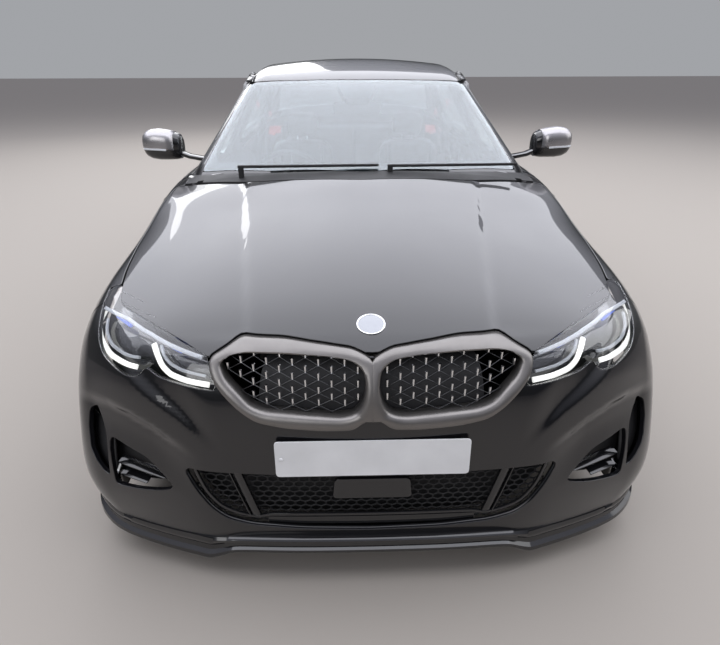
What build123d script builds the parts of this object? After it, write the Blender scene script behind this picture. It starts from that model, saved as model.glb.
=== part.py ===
from build123d import *
import os
from collections import namedtuple
from math import atan2, cos, degrees, radians, sin, sqrt

os.makedirs("parts", exist_ok=True)

# A four-door sedan at full size, in millimetres.
# The nose points along -Y, +Z is up, +X is the car's left, and the tyres stand on z = 0.

# Driving dimensions of the whole car
wheelbase = 2851.0
front_axle_y = -1549.0
rear_axle_y = front_axle_y + wheelbase
front_track = 1560.0
rear_track = 1544.0
nose_y = -2350.0
tail_y = 2365.0
roof_crown_z = 1438.0

# Thicknesses of panels and walls
skin = 5.0
door_depth = 110.0
wall = 60.0
sill_depth = 125.0
frame_depth = 38.0
shut_gap = 6.0
seat_gap = 0.3

# Tyres and rims
tyre_radius = 331.0
front_tyre_width = 225.0
rear_tyre_width = 245.0
rim_radius = 241.0
arch_radius = 366.0
liner_radius = 396.0

Waterline = namedtuple("Waterline", "z front mid rear nose tail")
# Level, half widths at the front corner, mid door and rear corner, then set-backs of nose and tail
waterlines = [
    Waterline(150, 862, 872, 850, 12, 80),
    Waterline(205, 884, 888, 872, 5, 44),
    Waterline(420, 902, 904, 894, 0, 4),
    Waterline(560, 906, 912, 902, 3, 0),
    Waterline(650, 904, 913, 903, 22, 4),
    Waterline(740, 898, 908, 900, 76, 28),
    Waterline(800, 886, 900, 892, 140, 40),
    Waterline(860, 862, 884, 876, 230, 48),
    Waterline(940, 820, 843, 834, 340, 56),
    Waterline(1000, 775, 792, 785, 440, 60),
    Waterline(1120, 690, 705, 690, 560, 70),
]
shoulder_x = 450.0
shoulder_bow = 50.0
corner_run = 420.0
corner_sagitta = 70.0

Crown = namedtuple("Crown", "y centre crease edge brow")
# Station, then heights at the centre line, at the crease, at the edge and over the wheel arches
crease_x = 440.0
edge_x = 800.0
brow_x = 935.0
crowns = [
    Crown(-2440, 668, 640, 570, 470),
    Crown(-2290, 742, 712, 648, 560),
    Crown(-2200, 778, 750, 690, 610),
    Crown(-2000, 830, 804, 745, 650),
    Crown(-1700, 885, 862, 806, 690),
    Crown(-1400, 936, 914, 862, 740),
    Crown(-1080, 990, 972, 930, 850),
    Crown(-900, 1000, 985, 946, 880),
    Crown(1100, 1020, 1010, 985, 930),
    Crown(1560, 1086, 1080, 1006, 930),
    Crown(1900, 1090, 1083, 1000, 910),
    Crown(2240, 1086, 1078, 990, 880),
    Crown(2440, 1070, 1062, 975, 860),
]

Ring = namedtuple("Ring", "z side front_centre front_corner front_x rear_centre rear_corner rear_x")
# Two levels of the greenhouse: half width, then the ends of the windscreen and rear window in plan
rings = [
    Ring(900, 821, -1264, -1030, 770, 2002, 1790, 730),
    Ring(1480, 516, -112, -92, 500, 680, 640, 480),
]

RoofRow = namedtuple("RoofRow", "y centre edge")
# Station, then heights of the roof at the centre line and over the side rails
roof_edge_x = 600.0
roof_rows = [
    RoofRow(-1400, 1100, 1085),
    RoofRow(-380, 1347, 1330),
    RoofRow(-150, 1395, 1367),
    RoofRow(150, 1434, 1394),
    RoofRow(350, roof_crown_z, 1396),
    RoofRow(700, 1415, 1372),
    RoofRow(960, 1372, 1330),
    RoofRow(2300, 1070, 1030),
]


def arc_mid(start, end, sagitta):
    """Middle point of the arc over a chord that bulges to the right of its direction."""
    run = (end[0] - start[0], end[1] - start[1])
    length = sqrt(run[0] ** 2 + run[1] ** 2)
    return (
        (start[0] + end[0]) / 2 + sagitta * run[1] / length,
        (start[1] + end[1]) / 2 - sagitta * run[0] / length,
    )


def across(point):
    """The same point on the other side of the centre line."""
    return (-point[0], point[1])


def body_sides(inset):
    """Solid inside the nose, flanks and tail, each point moved inwards by the inset."""
    with BuildPart() as solid:
        for row in waterlines:
            nose = nose_y + row.nose + inset
            tail = tail_y - row.tail - inset
            front = (shoulder_x, nose + shoulder_bow)
            flank_front = (row.front - inset, nose + corner_run)
            flank_rear = (row.rear - inset, tail - corner_run)
            rear = (shoulder_x + 100, tail - shoulder_bow)
            front_mid = arc_mid(front, flank_front, corner_sagitta)
            rear_mid = arc_mid(flank_rear, rear, corner_sagitta)
            with BuildSketch(Plane.XY.offset(row.z)):
                with BuildLine():
                    ThreePointArc(across(front), (0, nose), front)
                    ThreePointArc(front, front_mid, flank_front)
                    ThreePointArc(flank_front, (row.mid - inset, 0), flank_rear)
                    ThreePointArc(flank_rear, rear_mid, rear)
                    ThreePointArc(rear, (0, tail), across(rear))
                    ThreePointArc(across(rear), across(rear_mid), across(flank_rear))
                    ThreePointArc(across(flank_rear), (inset - row.mid, 0), across(flank_front))
                    ThreePointArc(across(flank_front), across(front_mid), across(front))
                make_face()
        loft(ruled=True)
    return solid.part


def body_top(inset):
    """Solid below the bonnet, belt and boot, lowered by the inset."""
    with BuildPart() as solid:
        for row in crowns:
            crease = (crease_x, row.crease - inset)
            side_mid = ((crease_x + edge_x) / 2, (row.crease + row.edge) / 2 + 6 - inset)
            edge = (edge_x, row.edge - inset)
            brow_mid = ((edge_x + brow_x) / 2, (row.edge + row.brow) / 2 + 22 - inset)
            brow = (brow_x, row.brow - inset)
            foot = (brow_x + 40, 0)
            with BuildSketch(Plane(origin=(0, row.y, 0), x_dir=(1, 0, 0), z_dir=(0, -1, 0))):
                with BuildLine():
                    ThreePointArc(across(crease), (0, row.centre - inset), crease)
                    ThreePointArc(crease, side_mid, edge)
                    ThreePointArc(edge, brow_mid, brow)
                    Polyline(brow, foot, across(foot), across(brow))
                    ThreePointArc(across(brow), across(brow_mid), across(edge))
                    ThreePointArc(across(edge), across(side_mid), across(crease))
                make_face()
        loft(ruled=True)
    return solid.part


def greenhouse(inset):
    """Solid inside the glass and pillars, under the roof, each face moved inwards by the inset."""
    with BuildPart() as solid:
        for row in rings:
            front = (row.front_x - inset, row.front_corner + 2 * inset)
            rear = (row.rear_x - inset, row.rear_corner - 2.2 * inset)
            side_front = (row.side - inset, row.front_corner + 150)
            side_rear = (row.side - inset - 8, row.rear_corner - 170)
            front_mid = arc_mid(front, side_front, 22)
            side_mid = (row.side - inset + 3, (side_front[1] + side_rear[1]) / 2)
            rear_mid = arc_mid(side_rear, rear, 24)
            with BuildSketch(Plane.XY.offset(row.z)):
                with BuildLine():
                    ThreePointArc(across(front), (0, row.front_centre + 2 * inset), front)
                    ThreePointArc(front, front_mid, side_front)
                    ThreePointArc(side_front, side_mid, side_rear)
                    ThreePointArc(side_rear, rear_mid, rear)
                    ThreePointArc(rear, (0, row.rear_centre - 2.2 * inset), across(rear))
                    ThreePointArc(across(rear), across(rear_mid), across(side_rear))
                    ThreePointArc(across(side_rear), across(side_mid), across(side_front))
                    ThreePointArc(across(side_front), across(front_mid), across(front))
                make_face()
        loft(ruled=True)
        add(roof_solid(inset), mode=Mode.INTERSECT)
    return solid.part


def roof_solid(inset):
    """Solid below the roof's crown, lowered by the inset."""
    with BuildPart() as solid:
        for row in roof_rows:
            edge = (roof_edge_x, row.edge - inset)
            eave = (950, row.edge - inset - (row.centre - row.edge) * 1.5)
            foot = (950, 0)
            with BuildSketch(Plane(origin=(0, row.y, 0), x_dir=(1, 0, 0), z_dir=(0, -1, 0))):
                with BuildLine():
                    ThreePointArc(across(edge), (0, row.centre - inset), edge)
                    Polyline(edge, eave, foot, across(foot), across(eave), across(edge))
                make_face()
        loft(ruled=True)
    return solid.part


def nose_slab(row, inset, depth, low, high, lean=0):
    """Slab that follows the nose's plan at one level, set back by the inset and leaning back with height."""
    with BuildPart() as solid:
        for reach, mode in ((inset, Mode.ADD), (inset + depth, Mode.SUBTRACT)):
            nose = nose_y + row.nose + reach
            front = (shoulder_x, nose + shoulder_bow)
            flank = (row.front - reach, nose + corner_run)
            mid = arc_mid(front, flank, corner_sagitta)
            with BuildSketch(Plane.XY.offset(low)):
                with BuildLine():
                    ThreePointArc(across(front), (0, nose), front)
                    ThreePointArc(front, mid, flank)
                    Polyline(flank, (flank[0], -1800), (-flank[0], -1800), across(flank))
                    ThreePointArc(across(flank), across(mid), across(front))
                make_face()
            extrude(amount=(high - low) * sqrt(1 + lean ** 2), dir=(0, lean, 1), mode=mode)
    return solid.part


def side_prism(points, near, far, grow=0):
    """Side-view outline of y and z, carried from one x to another."""
    with BuildPart() as solid:
        with BuildSketch(Plane.YZ.offset(near)):
            with BuildLine():
                Polyline(*points, close=True)
            make_face()
            if grow:
                offset(amount=grow, kind=Kind.INTERSECTION)
        extrude(amount=far - near)
    return solid.part


def plan_prism(points, low, high, grow=0):
    """Plan outline of x and y, carried from one height to another."""
    with BuildPart() as solid:
        with BuildSketch(Plane.XY.offset(low)):
            with BuildLine():
                Polyline(*points, close=True)
            make_face()
            if grow:
                offset(amount=grow, kind=Kind.INTERSECTION)
        extrude(amount=high - low)
    return solid.part


def front_prism(points, near, far, grow=0):
    """Front-view outline of x and z, carried from one y back to another."""
    with BuildPart() as solid:
        with BuildSketch(Plane.XZ.offset(-near)):
            with BuildLine():
                Polyline(*points, close=True)
            make_face()
            if grow:
                offset(amount=grow, kind=Kind.INTERSECTION)
        extrude(amount=near - far)
    return solid.part


def both(half_points):
    """Outline across the centre line from the points of its left half."""
    return half_points + [(-x, v) for x, v in reversed(half_points) if x > 0]


def box_between(low, high):
    """Box from its lowest to its highest corner."""
    with BuildPart() as solid:
        with Locations(tuple((a + b) / 2 for a, b in zip(low, high))):
            Box(*(b - a for a, b in zip(low, high)))
    return solid.part


def across_cylinder(y, z, radius, near, far):
    """Cylinder along X about an axle or pin."""
    with BuildPart() as solid:
        with BuildSketch(Plane.YZ.offset(near)):
            with Locations((y, z)):
                Circle(radius)
        extrude(amount=far - near)
    return solid.part


def upright_cylinder(x, y, radius, low, high):
    """Cylinder along Z about a hinge or kingpin."""
    with BuildPart() as solid:
        with BuildSketch(Plane.XY.offset(low)):
            with Locations((x, y)):
                Circle(radius)
        extrude(amount=high - low)
    return solid.part


def finish(name, solid):
    """Labels a finished piece and writes it."""
    solid.part.label = name
    export_step(solid.part, f"parts/{name}.step")


def finish_pair(name, left):
    """Writes the left piece and its mirrored twin on the right."""
    finish(name + "_left", left)
    with BuildPart() as right:
        add(left.part.mirror(Plane.YZ))
    finish(name + "_right", right)


left_half = box_between((0, -2600, 0), (1100, 2600, 1600))

# Nested forms of the body, from the outer face inwards
proud = -8.0
lid_depth = 15.0
frame_face = 45.0
frame_clear = 7.0
side_insets = (
    proud, 0, skin, skin + seat_gap, 2 * skin, lid_depth, frame_face, wall, door_depth,
    sill_depth, sill_depth + seat_gap,
)
sides = {inset: body_sides(inset) for inset in side_insets}
tops = {inset: body_top(inset) for inset in (0, skin, lid_depth, lid_depth + seat_gap, wall)}
house_insets = (0, skin, 2 * skin, frame_depth, frame_depth + frame_clear, wall)
house = {inset: greenhouse(inset) for inset in house_insets}

with BuildPart() as outer:
    add(sides[0])
    add(tops[0], mode=Mode.INTERSECT)
with BuildPart() as inner:
    add(sides[skin])
    add(tops[skin], mode=Mode.INTERSECT)
with BuildPart() as outer_side:
    add(outer.part)
    add(box_between((500, -1100, 100), (1100, 2600, 1300)), mode=Mode.INTERSECT)

# The left side between the wheels, where the doors are, below and above the belt
belt_z = 925.0
belt_zone = box_between((550, -1100, 200), (1000, 1200, 1100))
upper_zone = box_between((550, -1200, belt_z), (1000, 1400, 1500))
with BuildPart() as outer_mid:
    add(outer.part)
    add(belt_zone, mode=Mode.INTERSECT)
with BuildPart() as inner_mid:
    add(inner.part)
    add(belt_zone, mode=Mode.INTERSECT)
with BuildPart() as lining_mid:
    add(sides[door_depth])
    add(belt_zone, mode=Mode.INTERSECT)
with BuildPart() as upper_mid:
    add(house[0])
    add(upper_zone, mode=Mode.INTERSECT)
with BuildPart() as upper_inner:
    add(house[skin])
    add(upper_zone, mode=Mode.INTERSECT)
with BuildPart() as house_left:
    add(house[0])
    add(left_half, mode=Mode.INTERSECT)

# Doors in side view, each outline as y and z
door_low = 262.0
front_door_outline = [
    (-1040, door_low), (-1052, 600), (-1012, 900), (-985, 934), (-905, 938), (-330, 1286),
    (-200, 1346), (-50, 1366), (54, 1371), (7, 950), (-13, door_low),
]
rear_door_outline = [
    (-7, door_low), (13, 950), (60, 1371), (250, 1376), (600, 1354), (850, 1290), (1040, 1195),
    (1130, 1085), (1140, 1010), (1112, 900), (1080, 700), (960, 560), (880, 420), (820, door_low),
]
front_glass_outline = [(-785, 965), (-42, 978), (0, 1334), (-70, 1330), (-190, 1314), (-300, 1257)]
rear_glass_outline = [
    (66, 980), (1065, 1000), (1090, 1050), (1005, 1155), (825, 1248), (585, 1314), (250, 1338), (110, 1335),
]
front_box_outline = [(-955, 287), (-955, 895), (-900, 920), (-850, 948), (-22, 965), (-43, 287)]
rear_box_outline = [
    (92, 287), (112, 970), (1095, 990), (1082, 900), (1045, 720), (925, 580), (845, 430), (790, 287),
]

front_hinge = (884, -990)
rear_hinge = (885, 57)
hinge_heights = (400, 700)
barrel_radius = 8.0
barrel_half = 30.0
handle_length = 220.0
handle_height = 22.0


def hinge_leaves(hinge):
    """Upper barrels of a door's two hinges with the leaves that reach back to its box."""
    leaves = []
    for height in hinge_heights:
        low = height + 0.15
        high = height + barrel_half
        leaves.append(upright_cylinder(*hinge, barrel_radius, low, high))
        leaves.append(box_between((hinge[0] - 4, hinge[1], low), (hinge[0] + 4, hinge[1] + 48, high)))
    return leaves


def hinge_arms(hinge):
    """Lower barrels of a door's two hinges with the arms that reach in to its pillar."""
    arms = []
    for height in hinge_heights:
        low = height - barrel_half
        high = height - 0.15
        arms.append(upright_cylinder(*hinge, barrel_radius, low, high))
        arms.append(box_between((815, hinge[1] - 6, low), (hinge[0], hinge[1] + 6, high)))
    return arms


def handle(y, z):
    """Pull handle on the door's skin."""
    half = handle_length / 2
    bar = [
        (897, y - half), (921, y - half + 22), (930, y - half + 50),
        (930, y + half - 50), (921, y + half - 22), (897, y + half),
    ]
    return plan_prism(bar, z - handle_height / 2, z + handle_height / 2)


def door(outline, glass, box, hinge, grip):
    """One left door: skin, frame, deep box and the outer halves of its hinges."""
    with BuildPart() as hollow:
        add(inner_mid.part)
        add(side_prism(box, 500, 1100), mode=Mode.SUBTRACT)
    with BuildPart() as lower:
        add(outer_mid.part)
        add(side_prism(outline, 500, 1000), mode=Mode.INTERSECT)
        add([hollow.part, lining_mid.part, house[frame_depth]], mode=Mode.SUBTRACT)
    with BuildPart() as rebate:
        add(upper_inner.part)
        add(side_prism(outline, 500, 1000, grow=-20), mode=Mode.SUBTRACT)
    with BuildPart() as upper:
        add(upper_mid.part)
        add(side_prism(outline, 556, 1000), mode=Mode.INTERSECT)
        add([rebate.part, house[frame_depth]], mode=Mode.SUBTRACT)
    with BuildPart() as whole:
        add(lower.part)
        add(upper.part)
        add(side_prism(glass, 400, 1000), mode=Mode.SUBTRACT)
        add(hinge_leaves(hinge) + [handle(*grip)])
    return whole


def door_glass(outline):
    """Pane that lies in a door's frame, clear of it by the seating gap."""
    with BuildPart() as pane:
        add(house[skin])
        add(side_prism(outline, 400, 1000, grow=-seat_gap), mode=Mode.INTERSECT)
        add(house[2 * skin], mode=Mode.SUBTRACT)
    return pane


front_grip = (-150, 762)
rear_grip = (880, 786)
front_door = door(front_door_outline, front_glass_outline, front_box_outline, front_hinge, front_grip)
finish_pair("door_front", front_door)
rear_door = door(rear_door_outline, rear_glass_outline, rear_box_outline, rear_hinge, rear_grip)
finish_pair("door_rear", rear_door)
finish_pair("glass_front", door_glass(front_glass_outline))
finish_pair("glass_rear", door_glass(rear_glass_outline))

# Plan outlines of the glazing, roof and lids, each point as x and y from the centre line outwards
windscreen_plan = both([(0, -1095), (400, -1040), (735, -935), (592, -335), (300, -370), (0, -382)])
roof_plan = both([
    (0, -379), (300, -367), (560, -333), (548, -100), (548, 700), (524, 868), (300, 908), (0, 920),
])
rear_window_plan = both([(0, 923), (300, 911), (524, 872), (662, 1500), (400, 1545), (0, 1560)])
cabin_plan = both([
    (0, -1095), (400, -1040), (735, -935), (592, -335), (560, -330), (548, -100), (548, 700), (524, 872),
    (662, 1500), (400, 1545), (0, 1560),
])
bonnet_plan = both([
    (0, -2271), (122, -2247), (227, -2226), (348, -2209), (426, -2250), (507, -2190), (592, -2125),
    (700, -2026), (752, -1974), (778, -1889), (801, -1766), (826, -1553), (833, -1262), (802, -1084),
    (500, -1156), (0, -1201),
])
cowl_plan = both([
    (0, -1187), (500, -1142), (776, -1069), (776, -985), (735, -938), (400, -1043), (0, -1098),
])
boot_plan = both([(0, 1622), (300, 1616), (560, 1604), (600, 1720), (600, 2500), (0, 2500)])
boot_face = both([(0, 722), (470, 722), (492, 890), (600, 900), (600, 1200), (0, 1200)])
tail_lamp_face = [(498, 898), (478, 775), (820, 790), (1000, 800), (1000, 905)]
lid_lamp_face = [(486, 884), (468, 772), (330, 762), (330, 868)]

# Front-view outlines of the nose, each point as x and z
kidney_outer = both([
    (0, 728), (21, 739), (52, 749), (121, 755), (227, 762), (346, 759), (430, 720), (419, 678),
    (390, 643), (347, 603), (305, 575), (230, 561), (125, 555), (49, 558), (23, 581), (0, 590),
])
kidney_inner = [
    (24, 707), (53, 727), (121, 735), (226, 737), (333, 735), (372, 728), (399, 711), (383, 677),
    (350, 647), (319, 615), (282, 601), (175, 594), (81, 589), (44, 598), (23, 631), (17, 671),
]
headlamp_face = [
    (421, 679), (433, 726), (505, 741), (581, 757), (675, 774), (739, 780), (833, 772), (812, 735), (800, 673),
    (779, 648), (740, 639), (701, 632), (640, 640), (615, 672), (582, 654), (527, 649), (405, 645),
]
intake_low = 190.0
intake_face = both([
    (0, 398), (382, 399), (525, 378), (537, 361), (497, 242), (449, 198), (363, 186), (0, intake_low),
])
side_intake_face = [(823, 367), (665, 375), (589, 337), (578, 275), (718, 203), (832, 156), (873, 149)]


def mirrored(points):
    """The same outline on the other side of the centre line."""
    return [(-x, v) for x, v in points]


# Room that the doors swing through beside their hinges and under the front posts
hinge_relief = 822.0
post_foot = 968.0
with BuildPart() as core:
    add(sides[2 * skin])
    add(tops[lid_depth], mode=Mode.INTERSECT)
with BuildPart() as front_recess:
    add(side_prism(front_door_outline, 700, 1000, grow=shut_gap))
    add(core.part, mode=Mode.SUBTRACT)
with BuildPart() as rear_recess:
    add(side_prism(rear_door_outline, 700, 1000, grow=shut_gap))
    add(core.part, mode=Mode.SUBTRACT)
with BuildPart() as upper_recess:
    add(side_prism(front_door_outline, 400, 1000, grow=shut_gap))
    add(side_prism(rear_door_outline, 400, 1000, grow=shut_gap))
    add(house[frame_depth + frame_clear], mode=Mode.SUBTRACT)
    add(box_between((400, -1300, 919), (1000, 1400, 1500)), mode=Mode.INTERSECT)
with BuildPart() as post_recess:
    add(side_prism(front_door_outline, 400, 1000, grow=shut_gap))
    add(box_between((400, -925, 800), (1000, -780, post_foot)), mode=Mode.INTERSECT)
front_aperture = [(-965, 281), (-965, 1010), (-15, 1010), (-30, 281)]
rear_aperture = [
    (82, 281), (96, 1010), (1180, 1010), (1100, 900), (1062, 720), (945, 580), (866, 430), (812, 281),
]
rear_arch = across_cylinder(rear_axle_y, tyre_radius, arch_radius, 400, 1000)
front_arch = across_cylinder(front_axle_y, tyre_radius, arch_radius, 400, 1000)
rear_bumper_side = [
    (1500, 100), (1560, 380), (1700, 600), (1850, 690), (2100, 715), (2600, 715), (2600, 100),
]
fender_side = [
    (-1046, 150), (-1058, 600), (-1018, 900), (-991, 941), (-991, 1020), (-2060, 1020), (-2060, 800),
    (-1940, 768), (-1930, 650), (-1700, 590), (-1549, 331), (-1549, 150),
]
jack_pads = (-880, 700)
jack_pad_reach = 40.0
bulkhead_y = 1180.0
with BuildPart() as fender_recess:
    add(side_prism(fender_side, 700, 1000, grow=seat_gap))
    add(core.part, mode=Mode.SUBTRACT)
with BuildPart() as cabin_void:
    add(sides[sill_depth])
    add(box_between((400, -1100, 0), (1100, bulkhead_y, 1400)), mode=Mode.INTERSECT)
with BuildPart() as boot_void:
    add(sides[wall])
    add(tops[wall], mode=Mode.INTERSECT)
    add(box_between((400, bulkhead_y, 0), (1100, 2600, 1400)), mode=Mode.INTERSECT)
with BuildPart() as body_side:
    add(outer_side.part)
    add([
        box_between((400, -1200, 0), (1100, -1046, 1400)),
        box_between((400, 1200, 0), (610, 2700, 1400)),
        cabin_void.part,
        boot_void.part,
        front_recess.part,
        rear_recess.part,
        upper_recess.part,
        fender_recess.part,
        plan_prism(bonnet_plan, 880, 1200, grow=shut_gap),
        side_prism(front_aperture, 400, 1100),
        side_prism(rear_aperture, 400, 1100),
        box_between((828, -1200, 100), (1100, -964, 1100)),
        box_between((hinge_relief, -45, door_low - shut_gap), (1100, 100, 1100)),
        rear_arch,
        side_prism(rear_bumper_side, 300, 1100, grow=seat_gap),
        front_prism(tail_lamp_face, 1950, 2600, grow=seat_gap),
    ], mode=Mode.SUBTRACT)
with BuildPart() as house_side:
    add(house_left.part)
    add([
        house[wall],
        plan_prism(cabin_plan, 800, 1600, grow=seat_gap),
        upper_recess.part,
        side_prism(front_door_outline, 400, 1000, grow=-40),
        side_prism(rear_door_outline, 400, 1000, grow=-40),
        box_between((0, -1400, 800), (700, -935, 1600)),
        box_between((0, -1400, 800), (1000, 1180, 919)),
        post_recess.part,
        box_between((0, 1500, 800), (610, 2200, 1600)),
    ], mode=Mode.SUBTRACT)
with BuildPart() as side_frame:
    add(body_side.part)
    add(house_side.part)
    add(plan_prism(cowl_plan, 900, 1600, grow=seat_gap), mode=Mode.SUBTRACT)
    add(hinge_arms(front_hinge) + hinge_arms(rear_hinge))
    add([box_between((780, y - jack_pad_reach, 135), (830, y + jack_pad_reach, 165)) for y in jack_pads])
finish_pair("side_frame", side_frame)

# Roof and fixed glass
with BuildPart() as roof_panel:
    add(house[0])
    add(plan_prism(roof_plan, 1100, 1600), mode=Mode.INTERSECT)
    add(house[frame_depth], mode=Mode.SUBTRACT)
    add(side_prism([(690, 1402), (872, 1362), (862, 1418), (838, 1446), (794, 1449)], -11, 11))
finish("roof_panel", roof_panel)

with BuildPart() as windscreen:
    add(house[0])
    add(plan_prism(windscreen_plan, 930, 1600), mode=Mode.INTERSECT)
    add(house[skin], mode=Mode.SUBTRACT)
finish("windscreen", windscreen)

with BuildPart() as rear_window:
    add(house[0])
    add(plan_prism(rear_window_plan, 1062, 1600), mode=Mode.INTERSECT)
    add([house[skin], outer.part.moved(Location((0, 0, seat_gap)))], mode=Mode.SUBTRACT)
finish("rear_window", rear_window)

# Nose: bumper, fenders, bonnet, grilles and lamps
nose_box = box_between((-1100, -2600, 0), (1100, -930, 1100))
with BuildPart() as nose_skin:
    add(outer.part)
    add(nose_box, mode=Mode.INTERSECT)
    add(inner.part, mode=Mode.SUBTRACT)
bonnet_pivot = (-1078, 931)
bonnet_lugs = ((700, 719.85), (-719.85, -700))
bonnet_barrels = ((720.15, 740), (-740, -720.15))
boot_pivot = (1608, 1058)
bumper_side = [
    (-2600, 100), (-2600, 800), (-2060, 797), (-1943, 765), (-1933, 645), (-1703, 585),
    (-1552, 331), (-1552, 100),
]
with BuildPart() as front_fender:
    add(nose_skin.part)
    add(side_prism(fender_side, 450, 1000), mode=Mode.INTERSECT)
    add([
        front_arch,
        plan_prism(bonnet_plan, 600, 1200, grow=shut_gap),
        plan_prism(cowl_plan, 900, 1600, grow=seat_gap),
        box_between((300, -1190, 800), (776, -900, 1200)),
        front_prism(headlamp_face, -2600, -1850, grow=seat_gap),
    ], mode=Mode.SUBTRACT)
finish_pair("front_fender", front_fender)

with BuildPart() as bumper_cuts:
    add(nose_skin.part)
    add(side_prism(bumper_side, -1000, 1000), mode=Mode.INTERSECT)
    add([
        front_arch,
        front_arch.mirror(Plane.YZ),
        plan_prism(bonnet_plan, 690, 1200, grow=shut_gap),
        front_prism(headlamp_face, -2600, -1850, grow=seat_gap),
        front_prism(mirrored(headlamp_face), -2600, -1850, grow=seat_gap),
        front_prism(kidney_outer, -2600, -2000, grow=seat_gap),
        front_prism(intake_face, -2600, -2000),
        front_prism(side_intake_face, -2600, -1900),
        front_prism(mirrored(side_intake_face), -2600, -1900),
    ], mode=Mode.SUBTRACT)
with BuildPart() as front_bumper:
    add(bumper_cuts.part.solids().sort_by(SortBy.VOLUME)[-1])
finish("front_bumper", front_bumper)

with BuildPart() as bonnet:
    add(outer.part)
    add(plan_prism(bonnet_plan, 690, 1200), mode=Mode.INTERSECT)
    add(tops[lid_depth], mode=Mode.SUBTRACT)
    add(front_prism(kidney_outer, -2600, -2000, grow=shut_gap), mode=Mode.SUBTRACT)
    for near, far in bonnet_lugs:
        add(across_cylinder(*bonnet_pivot, barrel_radius, near, far))
        add(box_between((near, bonnet_pivot[0] - 36, 925), (far, bonnet_pivot[0], 938)))
finish("bonnet", bonnet)

with BuildPart() as grille_surround:
    add(front_prism(kidney_outer, -2600, -2000))
    add(sides[proud], mode=Mode.INTERSECT)
    add([
        sides[frame_face],
        front_prism(kidney_inner, -2600, -2000),
        front_prism(mirrored(kidney_inner), -2600, -2000),
    ], mode=Mode.SUBTRACT)
finish("grille_surround", grille_surround)

# Twin grilles: staggered upright nails, tied by slanting struts and held in a thin frame
nail_pitch = 37.0
nail_rows = 4
nail_columns = 11
nail_rise = 40.0
nail_width = 7.0
nail_height = 20.0
strut_width = 2.6
grille_rim = 5.0
grille_centre = (208.0, 664.0)
grille_depth = 18.0
strut_tilt = degrees(atan2(nail_rise / 2, nail_pitch))
strut_length = sqrt(nail_pitch ** 2 + (nail_rise / 2) ** 2)


def nail_places():
    """Middles of the nails of one grille; every second column stands half a step higher."""
    for column in range(nail_columns):
        for row in range(nail_rows):
            x = grille_centre[0] + (column - (nail_columns - 1) / 2) * nail_pitch
            lift = (column % 2) / 2
            yield x, grille_centre[1] + (row - (nail_rows - 1) / 2 + lift) * nail_rise


with BuildSketch(Plane.XZ.offset(2400)) as grille_face:
    with BuildLine():
        Polyline(*kidney_inner, close=True)
    make_face()
    offset(amount=-seat_gap, kind=Kind.INTERSECTION)
    with BuildSketch(Plane.XZ.offset(2400), mode=Mode.PRIVATE) as grille_window:
        with BuildLine():
            Polyline(*kidney_inner, close=True)
        make_face()
        offset(amount=-seat_gap - grille_rim, kind=Kind.INTERSECTION)
    with BuildSketch(Plane.XZ.offset(2400), mode=Mode.PRIVATE) as grille_nails:
        with Locations(*nail_places()):
            Rectangle(nail_width, nail_height)
            for side in (-1, 1):
                with Locations(Location((side * nail_pitch / 2, nail_rise / 4), (0, 0, side * strut_tilt))):
                    Rectangle(strut_length, strut_width)
    add(grille_window.sketch - grille_nails.sketch, mode=Mode.SUBTRACT)
with BuildPart() as grille_mesh:
    for face in (grille_face.sketch, grille_face.sketch.mirror(Plane.YZ)):
        extrude(face, amount=250, dir=(0, 1, 0))
    add(nose_slab(waterlines[3], grille_depth, 25, 560, 760, lean=0.4), mode=Mode.INTERSECT)
finish("grille_mesh", grille_mesh)

slat_foot = intake_low + 11
with BuildPart() as lower_grille:
    add(front_prism(intake_face, -2400, -2150, grow=8))
    with BuildSketch(Plane.XZ.offset(2400)):
        with Locations((0, 300)):
            with GridLocations(62, 0, 18, 1):
                Rectangle(8, 240)
            with GridLocations(0, 42, 1, 5):
                Rectangle(1120, 8)
    extrude(amount=-250, mode=Mode.INTERSECT)
    add(nose_slab(waterlines[1], skin + 2 * seat_gap, 25, slat_foot, 430), mode=Mode.INTERSECT)
finish("lower_grille", lower_grille)

with BuildPart() as headlamp:
    add(front_prism(headlamp_face, -2600, -1850))
    add(inner.part, mode=Mode.INTERSECT)
    add([sides[door_depth], plan_prism(bonnet_plan, 705, 1200, grow=shut_gap)], mode=Mode.SUBTRACT)
finish_pair("headlamp", headlamp)

with BuildPart() as headlamp_lenses:
    for points in (headlamp_face, mirrored(headlamp_face)):
        add(front_prism(points, -2600, -1850))
    add(outer.part, mode=Mode.INTERSECT)
    add([inner.part, plan_prism(bonnet_plan, 690, 1200, grow=shut_gap)], mode=Mode.SUBTRACT)
finish("headlamp_lenses", headlamp_lenses)

# The lip hangs under the bumper and steps down at its two ends
lip_reach = 15.0
lip_low = 118.0
lip_high = 150.0 - seat_gap
lip_foot = 62.0
lip_outer = both([
    (0, nose_y - lip_reach), (380, -2335), (470, -2318), (610, -2255), (760, -2150), (862, -2010), (880, -1935),
])
lip_inner = both([(0, -2270), (380, -2245), (560, -2180), (700, -2080), (790, -1970), (810, -1935)])
with BuildPart() as front_splitter:
    with BuildSketch(Plane.XY.offset(lip_low)):
        with BuildLine():
            Polyline(*lip_outer, close=True)
        make_face()
        with BuildLine():
            Polyline(*lip_inner, close=True)
        make_face(mode=Mode.SUBTRACT)
    extrude(amount=lip_high - lip_low)
    for side in (-1, 1):
        points = [(470, -2316), (610, -2255), (760, -2150), (800, -2095), (740, -2095), (470, -2250)]
        add(plan_prism([(side * x, y) for x, y in points], lip_foot, lip_low))
finish("front_splitter", front_splitter)

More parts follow.
